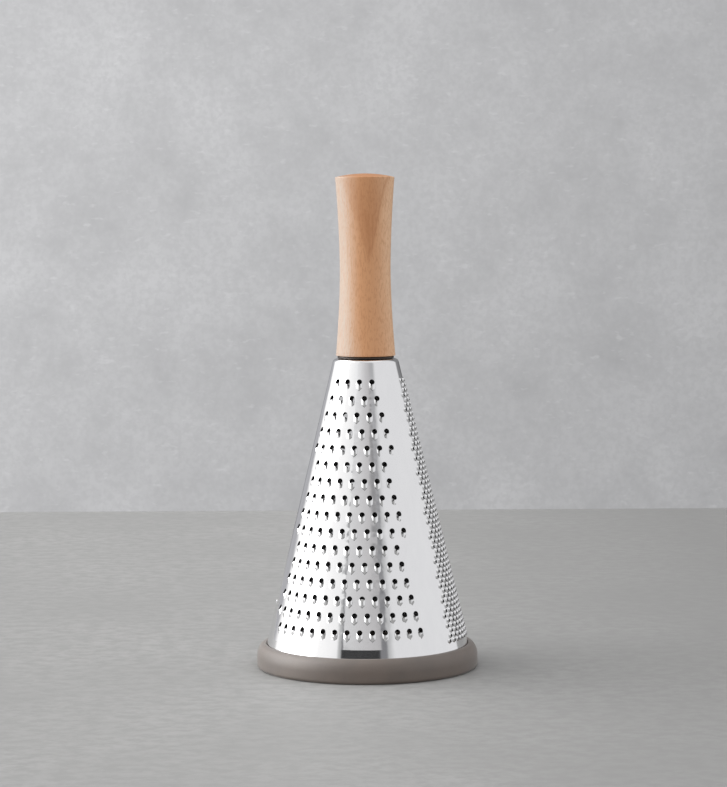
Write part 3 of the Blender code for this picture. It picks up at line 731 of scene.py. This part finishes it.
def build_ring(settings):
    """The bulged ring, with a groove for the rim of the cone that widens at its foot for the hem."""
    ring, shape = settings.ring, ConeShape(settings.cone)
    mouth_bevel, lip_bevel = 0.25 * MM, 0.5 * MM
    side_steps, foot_steps = 22, 8
    gap = ring.gap / shape.cos
    wall = settings.cone.thickness / shape.cos
    hem_top = settings.cone.rim_height + settings.cone.hem + ring.gap
    floor = settings.cone.rim_height - settings.cone.thickness * shape.sin - ring.gap
    lip_top = shape.radius(ring.lip_height) - wall - gap
    mouth = shape.radius(ring.height) + gap
    land = mouth + ring.land
    profile = [(mouth, ring.height - mouth_bevel), (mouth + mouth_bevel, ring.height)]
    for sine, cosine in quarter(side_steps):
        profile.append((land + (ring.radius - land) * sine,
                        ring.widest + (ring.height - ring.widest) * cosine))
    for sine, cosine in quarter(foot_steps):
        profile.append((ring.radius - ring.foot * (1 - cosine), ring.foot * (1 - sine)))
    inside = lip_top - ring.lip
    for sine, cosine in quarter(foot_steps):
        profile.append((inside + ring.foot * (1 - sine), ring.foot * (1 - cosine)))
    profile += [
        (inside, ring.lip_height - lip_bevel),
        (inside + lip_bevel, ring.lip_height),
        (lip_top - lip_bevel, ring.lip_height),
        (lip_top, ring.lip_height - lip_bevel),
        (shape.radius(floor) - wall - gap, floor),
        (shape.radius(floor) + wall + gap, floor),
        (shape.radius(hem_top) + wall + gap, hem_top),
        (shape.radius(hem_top) + gap, hem_top),
    ]
    return turned_mesh("soft_ring", profile, ring.segments)


def handle_radius(handle, part):
    """The waisted side: part 0 is the foot and 1 is the top edge."""
    if part < handle.waist:
        end, reach = handle.foot_radius, (handle.waist - part) / handle.waist
    else:
        end, reach = handle.top_radius, (part - handle.waist) / (1 - handle.waist)
    return handle.waist_radius + (end - handle.waist_radius) * reach ** handle.flare


def build_handle(settings):
    """The turned wood, bored for the collar's spigot and for the insert."""
    handle = settings.handle
    top = handle.bottom + handle.length
    crown = handle.top_radius - handle.edge
    crown_steps, side_steps, edge_steps = 14, 64, 4
    profile = [(0, top + handle.dome)]
    for step in range(1, crown_steps + 1):
        part = step / crown_steps
        profile.append((crown * part, top + handle.dome * (1 - part ** 2)))
    for sine, cosine in quarter(edge_steps)[1:]:
        profile.append((crown + handle.edge * sine, top - handle.edge * (1 - cosine)))
    for step in range(side_steps - 1, 0, -1):
        part = step / side_steps
        profile.append((handle_radius(handle, part), handle.bottom + handle.length * part))
    for sine, cosine in quarter(edge_steps):
        profile.append((handle.foot_radius - handle.edge * (1 - cosine),
                        handle.bottom + handle.edge * (1 - sine)))
    side_room, end_room = 0.3 * MM, 1.0 * MM
    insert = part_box("threaded_insert")
    bore = insert[1].x + side_room
    profile += [
        (handle.bore, handle.bottom),
        (handle.bore, handle.bottom + handle.bore_depth),
        (bore, handle.bottom + handle.bore_depth),
        (bore, insert[1].z + end_room),
        (0, insert[1].z + end_room),
    ]
    return turned_mesh("beech_handle", profile, handle.segments)


def build_collar(settings):
    """The dark disc under the wood, with a spigot up into the wood and a nose down into the cone."""
    collar = settings.collar
    top = collar.bottom + collar.thickness
    shoulder, rim = 0.4 * MM, 0.25 * MM
    profile = soften([
        (collar.bore, top + collar.spigot_height),
        (collar.spigot, top + collar.spigot_height),
        (collar.spigot, top),
        (collar.radius, top),
        (collar.radius, collar.bottom),
        (collar.nose, collar.bottom),
        (collar.nose, collar.bottom - collar.nose_height),
        (collar.bore, collar.bottom - collar.nose_height),
    ], {1: shoulder, 3: rim, 4: rim})
    return turned_mesh("moulded_collar", profile, collar.segments)


# Materials

class Nodes:
    """Short calls that add nodes to a tree and wire them."""

    def __init__(self, tree):
        self.tree = tree
        tree.nodes.clear()

    def add(self, kind, inputs=(), **settings):
        made = self.tree.nodes.new(kind)
        for key, value in settings.items():
            setattr(made, key, value)
        for key, value in dict(inputs).items():
            self.put(made.inputs[key], value)
        return made

    def put(self, socket, value):
        if isinstance(value, bpy.types.NodeSocket):
            self.tree.links.new(value, socket)
        else:
            socket.default_value = value

    def math(self, operation, first, second=0.0):
        return self.add("ShaderNodeMath", {0: first, 1: second}, operation=operation).outputs[0]

    def times(self, first, second):
        return self.math("MULTIPLY", first, second)

    def plus(self, first, second):
        return self.math("ADD", first, second)

    def minus(self, first, second):
        return self.math("SUBTRACT", first, second)

    def remap(self, value, low, high, to_low=0.0, to_high=1.0, kind="LINEAR"):
        return self.add("ShaderNodeMapRange", {
            "Value": value, "From Min": low, "From Max": high, "To Min": to_low, "To Max": to_high},
            interpolation_type=kind).outputs["Result"]

    def ease(self, value, low, high, to_low=0.0, to_high=1.0):
        """A remap that starts and ends softly."""
        return self.remap(value, low, high, to_low, to_high, "SMOOTHSTEP")

    def blend(self, part, first, second):
        """A number between first and second."""
        return self.add("ShaderNodeMix", {0: part, 2: first, 3: second}, data_type="FLOAT").outputs[0]

    def mix(self, part, first, second):
        """A colour between first and second."""
        made = self.add("ShaderNodeMix", data_type="RGBA")
        for index, value in ((0, part), (6, first), (7, second)):
            if isinstance(value, tuple):
                value = (*value, 1.0)
            self.put(made.inputs[index], value)
        return made.outputs[2]

    def noise(self, vector, scale, detail=3.0, roughness=0.5):
        return self.add("ShaderNodeTexNoise", {
            "Vector": vector, "Scale": scale, "Detail": detail, "Roughness": roughness}).outputs["Fac"]

    def stretch(self, vector, scale):
        return self.add("ShaderNodeMapping", {"Vector": vector, "Scale": scale}).outputs["Vector"]

    def split(self, vector):
        parts = self.add("ShaderNodeSeparateXYZ", {"Vector": vector}).outputs
        return parts["X"], parts["Y"], parts["Z"]

    def bump(self, height, strength, distance, **below):
        """A normal that a height moves. A normal that is already bumped goes in as Normal."""
        inputs = {"Height": height, "Strength": strength, "Distance": distance, **below}
        return self.add("ShaderNodeBump", inputs).outputs["Normal"]

    def place(self):
        return self.add("ShaderNodeTexCoord").outputs["Object"]

    def finish(self, **inputs):
        shader = self.add("ShaderNodeBsdfPrincipled", {
            key.replace("_", " "): value for key, value in inputs.items()})
        self.add("ShaderNodeOutputMaterial", {"Surface": shader.outputs["BSDF"]})


def new_material(name):
    material = bpy.data.materials.new(name)
    material.use_nodes = True
    return material, Nodes(material.node_tree)


def scaled(tint, factor):
    return tuple(part * factor for part in tint)


def polished_steel():
    """Mirror-polished stainless: nearly clean reflections outside; duller inside the cone, where painted
    shade darkens the inner skin and makes the hole walls nearly black.
    """
    bright, smeared = (0.86, 0.86, 0.865), (0.82, 0.82, 0.83)
    # Painted shade: the hole walls are nearly black and the inner skin is darkened, so that the holes and
    # the inside of the cone read dark
    cut_edge, shaded_inner_skin = (0.03, 0.03, 0.03), (0.26, 0.26, 0.26)
    inner_roughness = 0.42
    material, nodes = new_material("mirror_stainless")
    place = nodes.place()
    inside = nodes.add("ShaderNodeAttribute", attribute_name="inward").outputs["Fac"]
    smear = nodes.noise(nodes.stretch(place, (1.0, 1.0, 0.35)), 160.0, detail=4.0, roughness=0.6)
    tint = nodes.mix(nodes.remap(smear, 0.3, 0.8), bright, smeared)
    # Painted shade laid over the hole walls and then the inner skin, which is also rougher
    tint = nodes.mix(nodes.remap(inside, 0.0, CUT_EDGE), tint, cut_edge)
    tint = nodes.mix(nodes.remap(inside, CUT_EDGE, INNER_SKIN), tint, shaded_inner_skin)
    roughness = nodes.blend(inside, nodes.remap(smear, 0.35, 0.75, 0.05, 0.09), inner_roughness)
    # The press leaves the sheet between the teeth a little wavy
    level = nodes.split(place)[2]
    above_foot = nodes.remap(level, 16 * MM, 24 * MM)
    below_head = nodes.remap(level, 146 * MM, 152 * MM, 1.0, 0.0)
    ripple = nodes.times(nodes.noise(place, 175.0, detail=1.5), nodes.times(above_foot, below_head))
    ripple_height, wave_height = 0.09 * MM, 4 * MM
    wave = nodes.noise(place, 40.0, detail=2.0)
    normal = nodes.bump(wave, 0.02, wave_height, Normal=nodes.bump(ripple, 1.0, ripple_height))
    nodes.finish(Base_Color=tint, Metallic=1.0, Roughness=roughness, Normal=normal)
    return material


def plain_steel():
    """Zinc-plated steel of the hidden fittings: satin, slightly mottled."""
    material, nodes = new_material("zinc_plate")
    place = nodes.place()
    blotch = nodes.noise(place, 420.0, detail=4.0, roughness=0.6)
    grain = nodes.noise(nodes.stretch(place, (1.0, 1.0, 6.0)), 2600.0, detail=3.0)
    tint = nodes.mix(blotch, (0.46, 0.47, 0.49), (0.66, 0.66, 0.65))
    nodes.finish(Base_Color=tint, Metallic=1.0, Roughness=nodes.remap(blotch, 0.3, 0.7, 0.28, 0.45),
                 Normal=nodes.bump(grain, 0.25, 0.05 * MM))
    return material


def turned_brass():
    """Brass with fine turning marks."""
    material, nodes = new_material("turned_brass")
    place = nodes.place()
    rings = nodes.noise(nodes.stretch(place, (0.05, 0.05, 1.0)), 9000.0, detail=2.0)
    blotch = nodes.noise(place, 700.0, detail=3.0)
    tint = nodes.mix(blotch, (0.62, 0.44, 0.18), (0.80, 0.62, 0.30))
    nodes.finish(Base_Color=tint, Metallic=1.0, Roughness=nodes.remap(rings, 0.3, 0.7, 0.22, 0.4),
                 Normal=nodes.bump(rings, 0.3, 0.05 * MM))
    return material


def taupe_silicone(settings):
    """Satin moulded silicone with a fine dusty grain."""
    material, nodes = new_material("taupe_silicone")
    place = nodes.place()
    fine = nodes.noise(place, 2400.0, detail=4.0, roughness=0.6)
    cloud = nodes.noise(place, 60.0, detail=3.0, roughness=0.55)
    tint = tuple(settings.ring.tint)
    pale = tuple(part * 1.18 + 0.006 for part in tint)
    shade = nodes.mix(nodes.remap(cloud, 0.35, 0.65), scaled(tint, 0.9), pale)
    shade = nodes.mix(nodes.remap(fine, 0.62, 0.8, 0.0, 0.25), shade, pale)
    nodes.finish(Base_Color=shade, Roughness=nodes.remap(fine, 0.3, 0.7, 0.54, 0.66),
                 Normal=nodes.bump(fine, 0.25, 0.08 * MM), IOR=1.7, Specular_IOR_Level=1.0,
                 Sheen_Weight=0.3, Sheen_Roughness=0.45)
    return material


def collar_nylon(settings):
    """Dark moulded nylon with a fine grain."""
    material, nodes = new_material("dark_nylon")
    fine = nodes.noise(nodes.place(), 3000.0, detail=3.0)
    tint = tuple(settings.collar.tint)
    nodes.finish(Base_Color=nodes.mix(fine, tint, scaled(tint, 1.8)),
                 Roughness=nodes.remap(fine, 0.3, 0.7, 0.35, 0.5), Normal=nodes.bump(fine, 0.2, 0.05 * MM))
    return material


def growth_rings(nodes, side, depth, level, wobble):
    """The dark late edge of each growth ring, round a pith that lies behind the handle and leans."""
    pith_depth, pith_lean, rings_per_metre = 0.031, 0.022, 900.0
    behind = nodes.math("POWER", nodes.plus(depth, pith_depth), 2.0)
    away = nodes.math("SQRT", nodes.plus(nodes.times(side, side), behind))
    away = nodes.plus(nodes.plus(away, nodes.times(level, pith_lean)), wobble)
    ring = nodes.math("FRACT", nodes.times(away, rings_per_metre))
    return nodes.times(nodes.ease(ring, 0.2, 0.93), nodes.remap(ring, 1.0, 0.95))


def beech(settings):
    """Oiled beech: a warm heart between pale sapwood that carries painted sheen at the left, faint growth
    rings, fine pores and dark ray flecks.
    """
    handle = settings.handle
    cream_and_sheen, pale, warm, fleck = (
        tuple(tint) for tint in (handle.cream_and_sheen, handle.pale, handle.warm, handle.fleck))
    material, nodes = new_material("oiled_beech")
    place = nodes.place()
    side, depth, level = nodes.split(place)
    drift = nodes.noise(nodes.stretch(place, (1.0, 1.0, 0.12)), 90.0, detail=4.0, roughness=0.6)
    wobble = nodes.times(nodes.minus(drift, 0.5), 0.009)
    # A warm band runs up the middle, between pale orange at the right and a cream at the left, which is the
    # wood's tint made paler and greyer as painted sheen
    middle = nodes.remap(level, 162 * MM, 250 * MM, 3.2 * MM, 0.4 * MM)
    away = nodes.math("ABSOLUTE", nodes.plus(nodes.minus(side, middle), wobble))
    heart = nodes.ease(away, 2 * MM, 13 * MM, 1.0, 0.0)
    # Painted sheen: the wood goes paler and greyer towards the left
    sap_and_sheen = nodes.mix(nodes.remap(side, -12 * MM, 6 * MM), cream_and_sheen, pale)
    tint = nodes.mix(heart, sap_and_sheen, warm)
    # In its upper half a dark wedge opens upward, with a darker line along its edges
    wedge_start, wedge_spread = 213 * MM, 0.28
    wedge = nodes.minus(nodes.times(nodes.minus(level, wedge_start), wedge_spread), away)
    fades = nodes.remap(level, 222 * MM, 252 * MM, 0.8, 0.34)
    tint = nodes.mix(nodes.times(nodes.ease(wedge, -2.6 * MM, 3 * MM), fades), tint, fleck)
    line_start, line_middle, line_end = -0.8 * MM, 0.3 * MM, 1.4 * MM
    line = nodes.times(nodes.ease(wedge, line_start, line_middle),
                       nodes.ease(wedge, line_middle, line_end, 1.0, 0.0))
    darker_right = nodes.remap(side, -3 * MM, 4 * MM, 0.08, 0.45)
    tint = nodes.mix(nodes.times(line, darker_right), tint, fleck)
    late = growth_rings(nodes, side, depth, level, wobble)
    tint = nodes.mix(nodes.times(late, 0.22), tint, warm)
    streak = nodes.noise(nodes.stretch(place, (1.0, 1.0, 0.05)), 1500.0, detail=3.0, roughness=0.6)
    tint = nodes.mix(nodes.remap(streak, 0.42, 0.75, 0.0, 0.3), tint, warm)
    dash = nodes.noise(nodes.stretch(place, (1.0, 1.0, 0.28)), 1500.0, detail=2.0)
    marks = nodes.ease(dash, 0.47, 0.66)
    fewer_left = nodes.remap(side, -13 * MM, -2 * MM, 0.2, 0.38)
    tint = nodes.mix(nodes.times(marks, fewer_left), tint, fleck)
    # The end grain of the top drinks more oil
    top = handle.bottom + handle.length
    tint = nodes.mix(nodes.remap(level, top - 0.1 * MM, top + 0.3 * MM, 0.0, 0.6), tint, fleck)
    height = nodes.minus(nodes.times(streak, 0.4), marks)
    nodes.finish(Base_Color=tint, Roughness=nodes.remap(streak, 0.3, 0.7, 0.42, 0.55),
                 Normal=nodes.bump(height, 0.25, 0.1 * MM), Specular_IOR_Level=0.35)
    return material


def stone_floor(settings):
    """Pale honed stone, clouded and veined, with painted shade that darkens it away from the window."""
    material, nodes = new_material("pale_stone")
    place = nodes.place()
    tint = tuple(settings.stage.floor_tint)
    deep = scaled(tint, 0.86)
    cloud = nodes.noise(place, 7.0, detail=6.0, roughness=0.6)
    patch = nodes.noise(nodes.stretch(place, (1.0, 1.6, 1.0)), 24.0, detail=5.0, roughness=0.62)
    grit = nodes.noise(place, 260.0, detail=3.0, roughness=0.6)
    vein = nodes.noise(nodes.stretch(place, (1.0, 1.25, 1.0)), 105.0, detail=4.0, roughness=0.68)
    shade = nodes.mix(nodes.remap(cloud, 0.3, 0.7, 0.1, 0.9), deep, scaled(tint, 1.16))
    shade = nodes.mix(nodes.remap(patch, 0.35, 0.7, 0.0, 0.35), shade, tint)
    shade = nodes.mix(nodes.remap(grit, 0.5, 0.75, 0.0, 0.3), shade, deep)
    shade = nodes.mix(nodes.remap(vein, 0.4, 0.6, 0.0, 0.9), shade, deep)
    # Painted shade: the stone darkens to the right, away from the window light
    side = nodes.split(place)[0]
    shade = nodes.mix(nodes.remap(side, -0.05, 0.25, 0.0, 0.75), shade, scaled(tint, 0.6))
    nodes.finish(Base_Color=shade, Roughness=0.62, Normal=nodes.bump(grit, 0.06, 0.4 * MM),
                 Specular_IOR_Level=0.3)
    return material


# Stage

def room_light(nodes, x, y, z):
    """What lights the object: a soft studio. Turns are degrees round from the front, to the right, and
    rises are degrees up. Each step lays a light or a dark thing over those before it."""
    turn = nodes.times(nodes.math("ARCTAN2", x, nodes.times(y, -1.0)), 180 / math.pi)
    rise = nodes.times(nodes.math("ARCSINE", z), 180 / math.pi)
    glossy = nodes.add("ShaderNodeLightPath").outputs["Is Glossy Ray"]

    def band(value, low, high, soft):
        up = nodes.ease(value, low - soft, low + soft)
        return nodes.times(up, nodes.ease(value, high - soft, high + soft, 1.0, 0.0))

    def over(below, tint, first, second):
        """Lays a tint over what is below it, where both masks are 1."""
        return nodes.mix(nodes.times(first, second), below, tint)

    # Walls, from the table's edge up to a white ceiling, and darker corners behind
    table_grey, wall_grey, ceiling = (0.44, 0.44, 0.43), (0.56, 0.565, 0.58), (1.0, 1.0, 1.0)
    right_low, right_high = (0.14, 0.14, 0.145), (0.24, 0.24, 0.245)
    left_corner, back_corner = (0.47, 0.47, 0.49), (0.31, 0.31, 0.325)
    shade = nodes.mix(nodes.remap(rise, -30.0, 60.0), table_grey, wall_grey)
    low_wall = band(rise, -90.0, 40.0, 8.0)
    right_corner = nodes.mix(nodes.remap(rise, 0.0, 6.0), right_low, right_high)
    shade = over(shade, right_corner, band(turn, 122.0, 190.0, 6.0), low_wall)
    shade = over(shade, left_corner, band(turn, -170.0, -120.0, 5.0), low_wall)
    shade = over(shade, back_corner, nodes.remap(turn, -166.0, -158.0, 1.0, 0.0), low_wall)
    shade = nodes.mix(nodes.ease(rise, 48.0, 62.0), shade, ceiling)

    # The large soft box at the left, which leans a little at its front edge, and the screen at the right
    box_back, box_front, screen = (1.22, 1.21, 1.20), (0.98, 0.98, 0.98), (0.82, 0.82, 0.83)
    lean = nodes.remap(rise, 17.0, 19.7, 0.0, 8.0)
    sway = nodes.plus(turn, nodes.remap(rise, 2.0, 9.0, 0.0, 9.0))
    across = nodes.times(band(nodes.minus(turn, lean), -190.0, -34.5, 2.0), nodes.ease(sway, -140.0, -126.0))
    glow = nodes.mix(nodes.remap(turn, -70.0, -32.0), box_back, box_front)
    shade = over(shade, glow, across, band(rise, -14.0, 66.0, 6.0))
    shade = over(shade, screen, band(turn, 28.0, 128.0, 6.0), band(rise, -12.0, 58.0, 6.0))

    # The dark front between them, darkest in a low band under the card
    shift = nodes.remap(rise, 18.6, 20.2, 0.0, 6.0)
    left_edge = nodes.ease(nodes.minus(turn, shift), -32.0, -29.4)
    front = nodes.times(left_edge, nodes.ease(turn, 22.0, 25.0, 1.0, 0.0))
    gap_low, gap_high = (0.24, 0.24, 0.25), (0.52, 0.52, 0.53)
    by_table, under_card = (0.40, 0.40, 0.395), (0.05, 0.05, 0.052)
    gap = nodes.mix(nodes.remap(rise, 16.5, 24.5), gap_low, gap_high)
    under = nodes.mix(nodes.remap(rise, 6.0, 8.5), by_table, under_card)
    beside = nodes.times(nodes.remap(turn, 13.5, 16.0), nodes.remap(rise, 7.0, 9.0))
    gap = nodes.mix(nodes.math("MAXIMUM", nodes.remap(rise, 14.3, 14.9), beside), under, gap)
    shade = over(shade, gap, front, band(rise, -95.0, 46.0, 3.0))

    # The pale card above the camera, with a darker stripe near its right edge
    card_low, card_high, card_stripe = (0.76, 0.76, 0.765), (0.96, 0.96, 0.965), (0.24, 0.24, 0.245)
    card_middle, card_right = (0.62, 0.61, 0.615), (0.54, 0.53, 0.535)
    card = nodes.mix(nodes.remap(rise, 20.0, 24.0), card_low, card_high)
    card = nodes.mix(nodes.remap(turn, -30.0, 0.0), card, card_middle)
    card = nodes.mix(nodes.remap(turn, 0.0, 14.0), card, card_right)
    stripe = nodes.remap(turn, 5.0, 11.0, 0.0, 0.75)
    card = over(card, card_stripe, stripe, band(rise, 19.2, 22.8, 0.9))
    skew = nodes.plus(turn, nodes.remap(rise, 20.5, 24.0, 0.0, 3.5))
    width = nodes.times(band(turn, -28.8, 90.0, 0.8), nodes.remap(skew, 15.5, 17.5, 1.0, 0.0))
    shade = over(shade, card, width, band(rise, 14.6, 40.0, 0.3))

    # A low and a high window at the left, whose reflections are brighter than the light that they give
    low_window = nodes.mix(glossy, (3.0, 3.0, 3.0), (4.6, 4.6, 4.6))
    shade = over(shade, low_window, band(turn, -116.0, -66.0, 6.0), band(rise, -6.0, 38.0, 6.0))
    high_window = nodes.mix(glossy, (1.9, 1.9, 1.9), (5.0, 5.0, 5.0))
    shade = over(shade, high_window, band(turn, -136.0, -66.0, 8.0), band(rise, 25.0, 60.0, 4.0))
    back_boost = nodes.remap(y, -1.0, 1.0, 1.0, 1.35)
    strength = nodes.blend(glossy, back_boost, 1.0)
    return nodes.add("ShaderNodeBackground", {"Color": shade, "Strength": strength}).outputs[0]


def seen_wall(nodes, direction, x, z, tint):
    """The plastered wall that the camera sees: clouded and scratched, with painted shade that darkens it to
    the right and low down.
    """
    cloud = nodes.noise(direction, 26.0, detail=5.0, roughness=0.6)
    blot = nodes.noise(direction, 90.0, detail=4.0, roughness=0.65)
    scratch = nodes.noise(nodes.stretch(direction, (1.0, 1.0, 2.2)), 210.0, detail=3.0)
    grain = nodes.noise(direction, 430.0, detail=2.0, roughness=0.6)
    light = scaled(tint, 1.12)
    wall = nodes.mix(nodes.remap(cloud, 0.3, 0.7), scaled(tint, 0.88), light)
    wall = nodes.mix(nodes.remap(blot, 0.35, 0.65, 0.0, 0.5), wall, light)
    wall = nodes.mix(nodes.remap(grain, 0.4, 0.62, 0.0, 0.4), wall, scaled(tint, 0.9))
    wall = nodes.mix(nodes.remap(scratch, 0.62, 0.74, 0.0, 0.4), wall, scaled(tint, 1.25))
    # Painted shade: the wall darkens away from the window at the left and towards the table
    painted_falloff = nodes.times(nodes.remap(x, -0.15, 0.15, 1.14, 0.87), nodes.remap(z, -0.12, 0.04, 0.88, 1.0))
    return nodes.add("ShaderNodeBackground", {"Color": wall, "Strength": painted_falloff}).outputs[0]


def studio_world(settings):
    """A pale wall for the camera, and a soft studio for everything else."""
    world = bpy.data.worlds.new("soft_studio")
    world.use_nodes = True
    nodes = Nodes(world.node_tree)
    direction = nodes.add("ShaderNodeTexCoord").outputs["Generated"]
    x, y, z = nodes.split(direction)
    lamp = room_light(nodes, x, y, z)
    wall = seen_wall(nodes, direction, x, z, tuple(settings.stage.wall_tint))
    camera = nodes.add("ShaderNodeLightPath").outputs["Is Camera Ray"]
    mixed = nodes.add("ShaderNodeMixShader", {0: camera, 1: lamp, 2: wall})
    nodes.add("ShaderNodeOutputWorld", {"Surface": mixed.outputs[0]})
    bpy.context.scene.world = world


def add_table(settings):
    stage = settings.stage
    bm = bmesh.new()
    depth = stage.floor_front + stage.floor_back
    middle = (stage.floor_back - stage.floor_front) / 2
    size = Matrix.Diagonal((2 * stage.floor_side, depth, 1, 1))
    bmesh.ops.create_grid(bm, x_segments=1, y_segments=1, size=0.5,
                          matrix=Matrix.Translation((0, middle, 0)) @ size)
    table = bpy.data.objects.new("stone_table", to_mesh(bm, "stone_table"))
    bpy.context.scene.collection.objects.link(table)
    table.data.materials.append(stone_floor(settings))


def add_lamp(name, place, target, size, power):
    data = bpy.data.lights.new(name, "AREA")
    data.shape = "RECTANGLE"
    data.size, data.size_y = size
    data.energy = power
    lamp = bpy.data.objects.new(name, data)
    lamp.location = place
    lamp.rotation_euler = (Vector(target) - Vector(place)).to_track_quat("-Z", "Y").to_euler()
    bpy.context.scene.collection.objects.link(lamp)


def add_camera(settings):
    """The camera that was fitted to the photograph, which is 787 pixels high."""
    stage = settings.stage
    sensor, focal_pixels, photo_height = 36.0, 2500.0, 787.0
    aside = -1.25 * MM
    data = bpy.data.cameras.new("photo_camera")
    data.sensor_width = sensor
    data.lens = sensor * focal_pixels / photo_height
    data.clip_start = 0.05
    data.clip_end = 50.0
    camera = bpy.data.objects.new("photo_camera", data)
    camera.rotation_mode = "QUATERNION"
    camera.location = (aside, -stage.camera_distance, stage.camera_height)
    tilt = Matrix.Rotation(math.pi / 2 - stage.camera_tilt, 3, "X")
    roll = Matrix.Rotation(-stage.camera_roll, 3, "Z")
    camera.rotation_quaternion = (tilt @ roll).to_quaternion()
    bpy.context.scene.collection.objects.link(camera)
    bpy.context.scene.camera = camera


# Operators

def add_piece(name, mesh, material, slot, *nodes):
    """Puts a finished piece in the scene in place of the frame's nodes."""
    mesh.materials.clear()
    mesh.materials.append(material)
    piece = bpy.data.objects.new(name, mesh)
    bpy.context.scene.collection.objects.link(piece)
    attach(piece, "root")
    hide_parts(*nodes)


def dress(node, material):
    """Gives a frame node that is kept a finished material."""
    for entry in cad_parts[node].material_slots:
        entry.material = material


class GRATER_OT_cone(bpy.types.Operator):
    """Roll the pierced steel cone, with its three fields of teeth"""

    bl_idname = "grater.cone"
    bl_label = "Steel Cone"

    def execute(self, context):
        settings = context.scene.grater
        add_piece("pierced_cone", build_cone(settings), polished_steel(), "polished_steel", "grater_cone")
        return {"FINISHED"}


class GRATER_OT_ring(bpy.types.Operator):
    """Turn the soft non-slip ring"""

    bl_idname = "grater.ring"
    bl_label = "Soft Ring"

    def execute(self, context):
        settings = context.scene.grater
        add_piece("soft_ring", build_ring(settings), taupe_silicone(settings), "ring_silicone", "base_ring")
        return {"FINISHED"}


class GRATER_OT_handle(bpy.types.Operator):
    """Turn the waisted beech handle"""

    bl_idname = "grater.handle"
    bl_label = "Beech Handle"

    def execute(self, context):
        settings = context.scene.grater
        add_piece("beech_handle", build_handle(settings), beech(settings), "handle_beech", "handle")
        return {"FINISHED"}


class GRATER_OT_collar(bpy.types.Operator):
    """Mould the dark collar under the handle"""

    bl_idname = "grater.collar"
    bl_label = "Collar"

    def execute(self, context):
        settings = context.scene.grater
        add_piece("moulded_collar", build_collar(settings), collar_nylon(settings), "collar_nylon",
                  "handle_collar")
        return {"FINISHED"}


class GRATER_OT_fittings(bpy.types.Operator):
    """Finish the screw, washers, backing plate and insert"""

    bl_idname = "grater.fittings"
    bl_label = "Fittings"

    def execute(self, context):
        steel = plain_steel()
        for node in ("backing_plate", "flat_washer", "spring_washer", "fixing_screw"):
            dress(node, steel)
        dress("threaded_insert", turned_brass())
        return {"FINISHED"}


class GRATER_OT_stage(bpy.types.Operator):
    """Set the table, the studio light and the camera"""

    bl_idname = "grater.stage"
    bl_label = "Stage"

    def execute(self, context):
        settings = context.scene.grater
        add_table(settings)
        studio_world(settings)
        add_lamp("left_box", place=(-1.28, 0.20, 0.50), target=(0, 0, 0.12), size=(0.6, 0.8), power=1.0)
        add_camera(settings)
        context.scene.view_settings.view_transform = "Standard"
        return {"FINISHED"}


class GRATER_PT_panel(bpy.types.Panel):
    """Lists the pieces and their sizes"""

    bl_idname = "GRATER_PT_panel"
    bl_label = "Conical Grater"
    bl_space_type = "VIEW_3D"
    bl_region_type = "UI"
    bl_category = "Grater"

    def draw(self, context):
        for operator in OPERATORS:
            self.layout.operator(operator.bl_idname)
        settings = context.scene.grater
        for group in ("cone", "medium", "coarse", "fine", "ring", "handle", "collar", "stage"):
            values = getattr(settings, group)
            box = self.layout.box()
            box.label(text=group.capitalize())
            for name in values.__annotations__:
                box.prop(values, name)


GROUPS = (ConeSettings, MediumField, CoarseField, FineField, RingSettings, HandleSettings, CollarSettings,
          StageSettings, GraterSettings)
OPERATORS = (GRATER_OT_cone, GRATER_OT_ring, GRATER_OT_handle, GRATER_OT_collar, GRATER_OT_fittings,
             GRATER_OT_stage)


def register():
    for item in (*GROUPS, *OPERATORS, GRATER_PT_panel):
        bpy.utils.register_class(item)
    bpy.types.Scene.grater = PointerProperty(type=GraterSettings)


def unregister():
    del bpy.types.Scene.grater
    for item in reversed((*GROUPS, *OPERATORS, GRATER_PT_panel)):
        bpy.utils.unregister_class(item)


def main():
    register()
    bpy.ops.grater.cone()
    bpy.ops.grater.ring()
    bpy.ops.grater.handle()
    bpy.ops.grater.collar()
    bpy.ops.grater.fittings()
    bpy.ops.grater.stage()


if __name__ == "__main__":
    main()
